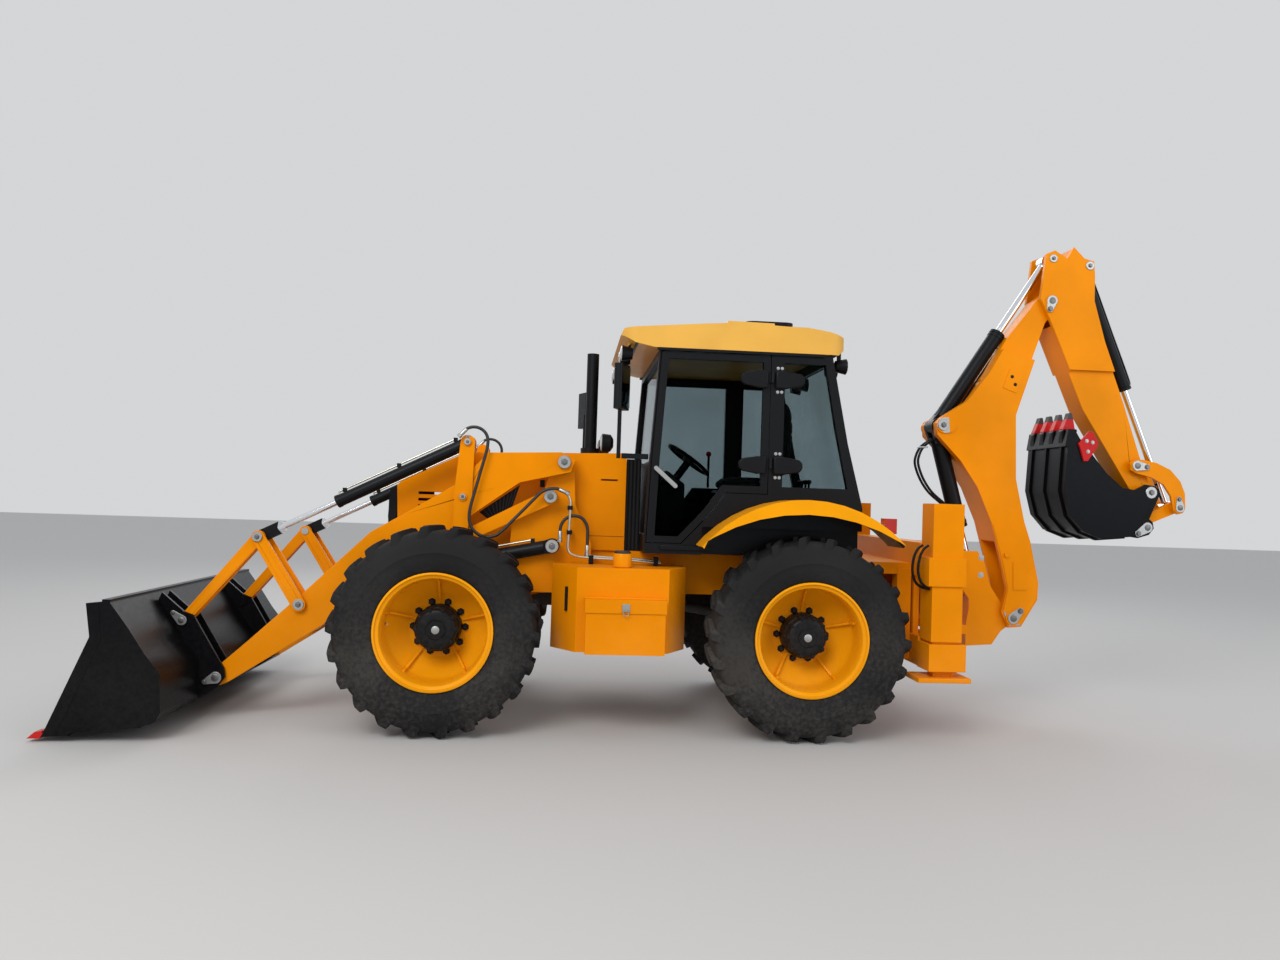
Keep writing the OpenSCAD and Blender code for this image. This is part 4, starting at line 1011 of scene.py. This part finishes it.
# %% Pipes of the hoe
BOW = [(-3700, 2130), (-3640, 2106), (-3580, 2060), (-3545, 1990), (-3540, 1920), (-3582, 1810),
       (-3650, 1712), (-3735, 1640), (-3790, 1600)]
for y in (-34, 34):
    path = smooth_path(places(np.insert(BOW, 1, y, axis=1)), 40)
    add("hoe_pipes", "boom_barrel", "black", tube(path, 10, 10))
add("hoe_clips", "boom_barrel", "zinc", box((-3610, -48, 2050), (-3560, 48, 2062)), bevel=0.002)
# Body, foot pin, rod pin, radius, end of the barrel, start and side of its pipe (1 left, -1 right)
for body, p, q, r, end, pipe in [
        ("boom_barrel", BOOM_TOP_PIN, (-3990, 1090), 62, 786, None),
        ("dipper_barrel", BOOM_TOP_PIN, DIPPER_ROD_PIN, 58, 880, (150, 1)),
        ("scoop_barrel", SCOOP_BARREL_PIN, SCOOP_ROD_PIN, 52, 1000, (120, -1))]:
    for s in (end - 26, end + 2):
        add("glands", body, "black", gland(p, q, s, 0, [(r + 4, 0), (r + 4, 20), (r - 2, 24)]))
    if pipe:
        start, way = pipe
        near, far = way * (r - 6), way * (r + 14)
        a, b = along(p, q, start, far), along(p, q, end - 40, far)
        bends = [along(p, q, start - 14, near), a, (a + b) / 2, b, along(p, q, end - 24, near)]
        path = smooth_path(places(np.insert(bends, 1, 0, axis=1)), 30)
        add("hoe_pipes", body, "black", tube(path, 8, 10))

# %% Pipes of the stabilisers
# Each bend: x, how much of the pipes' spacing it keeps, how far inwards, z
BENDS = np.array([
    (-3240, 1, 0, 1330), (-3205, 1, 0, 1300), (-3180, 1, 0, 1240), (-3172, 1, 0, 1160), (-3190, 1, 0, 1090),
    (-3232, 1, 10, 1050), (-3262, 0, 14, 1036)], float)
x, keeps, inwards, z = BENDS.T
for s in (1, -1):
    for spacing, y in ((0, 1020), (26, 985)):
        points = np.stack([x + spacing * keeps, s * (y - inwards), z], 1)
        add("stabiliser_pipes", "machine", "black", tube(smooth_path(places(points), 36), 9, 10))
print("gathered so far:", len(gathered), "pieces")

# %% [markdown]
# ## Tanks, toolbox and hood
# These are the small things that one looks for on a machine: the level glass of the tank, the toolbox's
# latch, the filler neck, the vent under the arm, latches and seams. An image could carry some of them, but
# the photo is close enough to show their depth, so they are thin plates, tubes and turned shapes.

# %% Level glass of the tank
level_tube = tube([place(-839, 874, z) for z in (820, 880, 980)], 11, 12)
level_glass = tube([place(-839, 876, z) for z in (838, 900, 962)], 8, 12)
add("sight_glass", "machine", "black", both_sides(level_tube))
add("sight_glass", "machine", "white", both_sides(level_glass))

# %% Vent in the hood's side
VENT = np.array([(-201, 1446), (-482, 1648), (-424, 1468), (-262, 1400)], float)
SLATS, SLAT_W = 9, 8
add("side_vent", "machine", "black", both_sides(plate(VENT, HOOD_Y + 0.5, HOOD_Y + 2)))
for t in np.arange(1, SLATS + 1) / (SLATS + 1):
    top = VENT[0] + (VENT[1] - VENT[0]) * t - [0, 4]
    foot = VENT[3] + (VENT[2] - VENT[3]) * t + [0, 6]
    slat = plate([top, top - [SLAT_W, 0], foot - [SLAT_W, 0], foot], HOOD_Y + 2, HOOD_Y + 6)
    add("side_vent", "machine", "plastic", both_sides(slat))

# %% Latch and filler
CAP_LUGS, CAP_R = 8, 50
add("latch", "toolbox_lid", "zinc", box((-1252, 1048, 842), (-1202, 1056, 892)), bevel=0.002)
ring = [place(-1227 + 17 * math.sin(a), 1062, 838 - 22 * math.cos(a)) for a in np.linspace(-2.5, 2.5, 30)]
add("latch", "toolbox_lid", "zinc", tube(ring, 3.5, 8))
neck = revolve(place(-1205, 850, 1120), UP, [(63, 0), (63, 84), (60, 88), (0, 88)], n=40)
lid = revolve(place(-1205, 850, 1207), UP, [(52, 0), (52, 12), (46, 19), (0, 20)], n=40)
add("filler_neck", "machine", "yellow", neck)
add("filler_cap", "machine", "plastic", lid)
for k in range(CAP_LUGS):
    a = 2 * np.pi * k / CAP_LUGS
    at = place(-1205 + CAP_R * math.cos(a), 850 + CAP_R * math.sin(a), 1207)
    add("filler_cap", "machine", "plastic", revolve(at, UP, [(6, 0), (6, 12), (0, 13)], n=8))

# %% Latches and seams of the hood
for x, z in ((-640, 1640), (-440, 1640), (-240, 1640), (60, 1480)):
    latch = box((x - 16, HOOD_Y, z), (x + 16, HOOD_Y + 7, z + 50))
    add("hood_latches", "machine", "black", both_sides(latch), bevel=0.003)
for (x0, z0), (x1, z1) in (((-690, 1215), (-686, 1880)), ((-1236, 1300), (-690, 1303))):
    seam = box((x0, HOOD_Y + 0.2, z0), (x1, HOOD_Y + 0.9, z1))
    add("hood_seams", "machine", "black", both_sides(seam))

# %% [markdown]
# A dark rubber sheet, folded like a bellows, is painted shade: it closes the gap between the hood's rear edge
# and the cab, so that no light shows there. It is a zigzag section drawn upwards. Wire mesh stands behind the
# grille's bars.
# As real wires it shows depth at a slant, which an image with holes would not.

# %% Painted shade bellows and mesh
FOLDS, FOLD_STEP, FOLD_DEPTH, SHEET = 9, 13.3, 8, 6
fold = np.arange(FOLDS)
inner = np.stack([-1242 - FOLD_STEP * fold, 366 + FOLD_DEPTH * (fold % 2)], 1)
section = np.vstack([inner, (inner + [0, SHEET])[::-1]])
folds = np.stack([np.insert(section, 2, z, axis=1) for z in (1208, 1862)])
v, f = grid(places(folds.reshape(-1, 3)).reshape(2, -1, 3), close_v=True)
f += [tuple(range(len(section))), tuple(reversed(range(len(section), 2 * len(section))))]
# A dark rubber sheet of painted shade in the gap between the hood and the cab.
add("bellows", "machine", "rubber", both_sides((v, f)), smooth=False)
MESH_X, MESH_STEP, WIRE_R = 441, 13.0, 1.6
for z in np.arange(1186, 1580, MESH_STEP):
    wire = [place(MESH_X, -350, z), place(MESH_X, 350, z)]
    add("grille_mesh", "machine", "black", tube(wire, WIRE_R, 4))
for y in np.arange(-348, 349, MESH_STEP):
    wire = [place(MESH_X, y, 1182), place(MESH_X, y, 1574)]
    add("grille_mesh", "machine", "black", tube(wire, WIRE_R, 4))
print("wires:", len(gathered["grille_mesh", "machine", "black"]["v"]))

# %% [markdown]
# ## Seat
# A driver's seat is foam under sewn cloth. One could sculpt its softness, but here the cloth simulation
# finds it: a crowned closed form is blown up by a little inner pressure and baked into the mesh. The move
# is capped so that the form stays in the space of the CAD solid, and sewn channels are drawn in afterwards.

# %% Crowned form
def crowned(centre, half, n=34):
    """A superellipsoid. With c and s as cosine and sine whose size is raised to a power:
    x = a*c(u)*c(w), y = b*s(u)*c(w), z = h*s(w); the power is 0.36 for u, and 0.55 and 0.8 for w."""
    a, b, h = np.asarray(half) / 1000
    u = np.linspace(-np.pi, np.pi, 2 * n, endpoint=False)
    w = np.linspace(-np.pi / 2, np.pi / 2, n)

    def soft(t, p):
        return np.sign(t) * np.abs(t) ** p

    U, W = np.meshgrid(u, w, indexing="ij")
    cw = soft(np.cos(W), 0.55)
    x, y, z = a * soft(np.cos(U), 0.36) * cw, b * soft(np.sin(U), 0.36) * cw, h * soft(np.sin(W), 0.8)
    return grid(np.stack([x, y, z], -1) + centre, close_u=True)


# %% Cloth under pressure
VOXEL = 0.007
MAX_MOVE = 0.010
FRAMES = 20


def coordinates(mesh):
    """The vertices of a mesh as n rows."""
    co = np.empty(len(mesh.vertices) * 3)
    mesh.vertices.foreach_get("co", co)
    return co.reshape(-1, 3)


def puffed(ob):
    """Remeshes the form evenly, blows it up as cloth and bakes that. No point moves further than MAX_MOVE."""
    m = ob.modifiers.new("even", "REMESH")
    m.mode = "VOXEL"
    m.voxel_size = VOXEL
    m.use_smooth_shade = True
    dg = bpy.context.evaluated_depsgraph_get()
    mesh = bpy.data.meshes.new_from_object(ob.evaluated_get(dg))
    mesh.materials.clear()
    mesh.materials.append(ob.data.materials[0])
    ob.modifiers.clear()
    ob.data = mesh
    start = coordinates(mesh)
    c = ob.modifiers.new("cloth", "CLOTH")
    c.settings.use_pressure = True
    c.settings.uniform_pressure_force = 4.0
    c.settings.effector_weights.gravity = 0
    for k in range(1, FRAMES + 1):
        scene.frame_set(k)
    dg = bpy.context.evaluated_depsgraph_get()
    move = coordinates(ob.evaluated_get(dg).data) - start
    ob.modifiers.clear()
    scene.frame_set(1)
    far = np.linalg.norm(move, axis=1)[:, None]
    move *= np.minimum(1, MAX_MOVE / np.maximum(far, 1e-9))
    mesh.vertices.foreach_set("co", (start + move).ravel())
    print(ob.name, "moved by up to", round(float(np.linalg.norm(move, axis=1).max()), 4), "m")
    mesh.shade_smooth()


def channels(ob, axis, lines, thick):
    """Sewn channels: points near a line, a place on one axis, are drawn in along the thick axis.
    Their share of the way to the middle is 0.16*exp(-(d/0.010)^2) at a distance of d metres."""
    co = coordinates(ob.data)
    mid = (co.min(0) + co.max(0))[thick] / 2
    for at in lines:
        co[:, thick] -= (co[:, thick] - mid) * np.exp(-((co[:, axis] - at) / 0.010) ** 2) * 0.16
    ob.data.vertices.foreach_set("co", co.ravel())


# %% Cushion and back
# Name, middle, half sizes, axis across the channels, their places on it in metres, axis of the thickness
for name, centre, half, axis, lines, thick in (
        ("seat_cushion", place(-2200, 0, 1712), (236, 238, 48), 1, (-0.13, 0.0, 0.13), 2),
        ("seat_back", place(-2450, 0, 2070), (44, 228, 288), 2, (1.90, 2.0, 2.1, 2.2), 0)):
    ob = build(name, *crowned(centre, half), "cloth")
    puffed(ob)
    channels(ob, axis, lines, thick)
    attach(ob, "machine")
    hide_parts("seat")
    print(name, len(ob.data.vertices), "vertices")

# %% Base of the seat
RUBBER_FOLDS, FOLD_H = 6, 27
add("seat_base", "machine", "plastic", box((-2430, -236, 1640), (-1962, 236, 1664)), bevel=0.008)
for k in range(RUBBER_FOLDS):
    w = 140 if k % 2 else 162
    z = 1480 + k * FOLD_H
    fold = box((-2175 - w * 0.9, -w, z), (-2175 + w * 0.9, w, z + FOLD_H))
    add("seat_base", "machine", "plastic", fold, bevel=0.008)
add("seat_base", "machine", "casting", box((-2290, -145, 1268), (-2060, 145, 1480)), bevel=0.006)

# %% [markdown]
# ## Gathered pieces
# Now every gathered piece becomes one object. It rides its body, so that it moves with the joint, and the
# seat's base also stands for the CAD seat.

# %% Building them
for (label, body, mat), e in gathered.items():
    ob = build(f"{label}.{body}.{mat}", np.vstack(e["v"]), e["f"], mat, smooth=e["smooth"], bevel=e["bevel"])
    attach(ob, body)
    if label == "seat_base":
        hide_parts("seat")
print("pieces:", len(gathered))

# %% [markdown]
# ## Floor and sky
# A studio shows a machine better than a landscape: a wide pale floor and an even sky. The camera sees a
# grey sky that sets off the yellow, while the light comes from a bluer one, as on an overcast day. A light
# path node tells the two apart.

# %% Floor
floor = build("floor", *box((-40000, -40000, -20), (40000, 40000, 0)), "white", smooth=False)
floor_mat = bpy.data.materials.new("studio_floor")
floor_mat.use_nodes = True
dull = floor_mat.node_tree.nodes["Principled BSDF"]
dull.inputs["Base Color"].default_value = (0.50, 0.49, 0.48, 1)
dull.inputs["Roughness"].default_value = 0.85
floor.data.materials[0] = floor_mat

# %% Sky
world = bpy.data.worlds.new("studio")
scene.world = world
world.use_nodes = True
wt = world.node_tree
wt.nodes.clear()
surface = wt.nodes.new("ShaderNodeOutputWorld")
lit, seen = wt.nodes.new("ShaderNodeBackground"), wt.nodes.new("ShaderNodeBackground")
lit.inputs["Color"].default_value = (0.93, 0.96, 1.0, 1)
lit.inputs["Strength"].default_value = 0.75
seen.inputs["Color"].default_value = (0.66, 0.67, 0.68, 1)
seen.inputs["Strength"].default_value = 1.0
ray, blend = wt.nodes.new("ShaderNodeLightPath"), wt.nodes.new("ShaderNodeMixShader")
wt.links.new(ray.outputs["Is Camera Ray"], blend.inputs[0])
wt.links.new(lit.outputs[0], blend.inputs[1])
wt.links.new(seen.outputs[0], blend.inputs[2])
wt.links.new(blend.outputs[0], surface.inputs["Surface"])

# %% [markdown]
# ## Softboxes
# Three large area lights shape the machine: a warm key from the camera's side, a cooler fill from behind
# and a rim light from the far side. They do not shine through the glass. Only the sky does, because small
# bright patches inside the cab would come out as grain.

# %% Lights
def softbox(name, at, target, size, power, colour=(1, 1, 1)):
    """A square area light of a size in metres and a power in watts, aimed at a point."""
    data = bpy.data.lights.new(name, "AREA")
    data.size = size
    data.energy = power
    data.color = colour
    ob = bpy.data.objects.new(name, data)
    ob.visible_transmission = False
    scene.collection.objects.link(ob)
    aim = (Vector(target) - Vector(at)).to_track_quat("-Z", "Y")
    ob.matrix_world = Matrix.Translation(Vector(at)) @ aim.to_matrix().to_4x4()


softbox("key", (5.0, 10.0, 9.0), (0.0, 0.0, 1.2), 6.0, 900, (1.0, 0.98, 0.95))
softbox("fill", (-9.0, 8.0, 5.0), (0.0, 0.0, 1.4), 7.0, 260, (0.95, 0.97, 1.0))
softbox("rim", (0.0, -9.0, 7.5), (0.0, 0.0, 1.6), 7.0, 350)

# %% [markdown]
# ## Camera
# The picture has to fall on the photo, so the camera isn't placed by eye. Its place, turn and lens were
# solved from the wheels, the linkage's pins and the bucket. The three angles are turns about the upright
# axis, up or down, and about the line of sight.

# %% The photo's camera
CAMERA = (0.8395, 6.9591, 1.5611)
YAW, PITCH, ROLL = 0.0773, 0.0232, 0.0330
FOCAL_PIXELS = 912.641
PHOTO_W = 1280
SENSOR = 36.0
sight = np.array([-math.sin(YAW) * math.cos(PITCH), -math.cos(YAW) * math.cos(PITCH), math.sin(PITCH)])
right = np.cross(sight, UP)
right /= np.linalg.norm(right)
up = np.cross(right, sight)
picture_x = math.cos(ROLL) * right + math.sin(ROLL) * up
picture_y = -math.sin(ROLL) * right + math.cos(ROLL) * up
cam_data = bpy.data.cameras.new("photo_camera")
cam_data.sensor_width = SENSOR
cam_data.lens = FOCAL_PIXELS / PHOTO_W * SENSOR
cam_data.clip_end = 200
camera = bpy.data.objects.new("photo_camera", cam_data)
scene.collection.objects.link(camera)
matrix = np.eye(4)
matrix[:3] = np.stack([picture_x, picture_y, -sight, CAMERA], 1)
camera.matrix_world = Matrix(matrix.tolist())
scene.camera = camera
scene.view_settings.view_transform = "Standard"
print("lens:", round(cam_data.lens, 2), "mm")
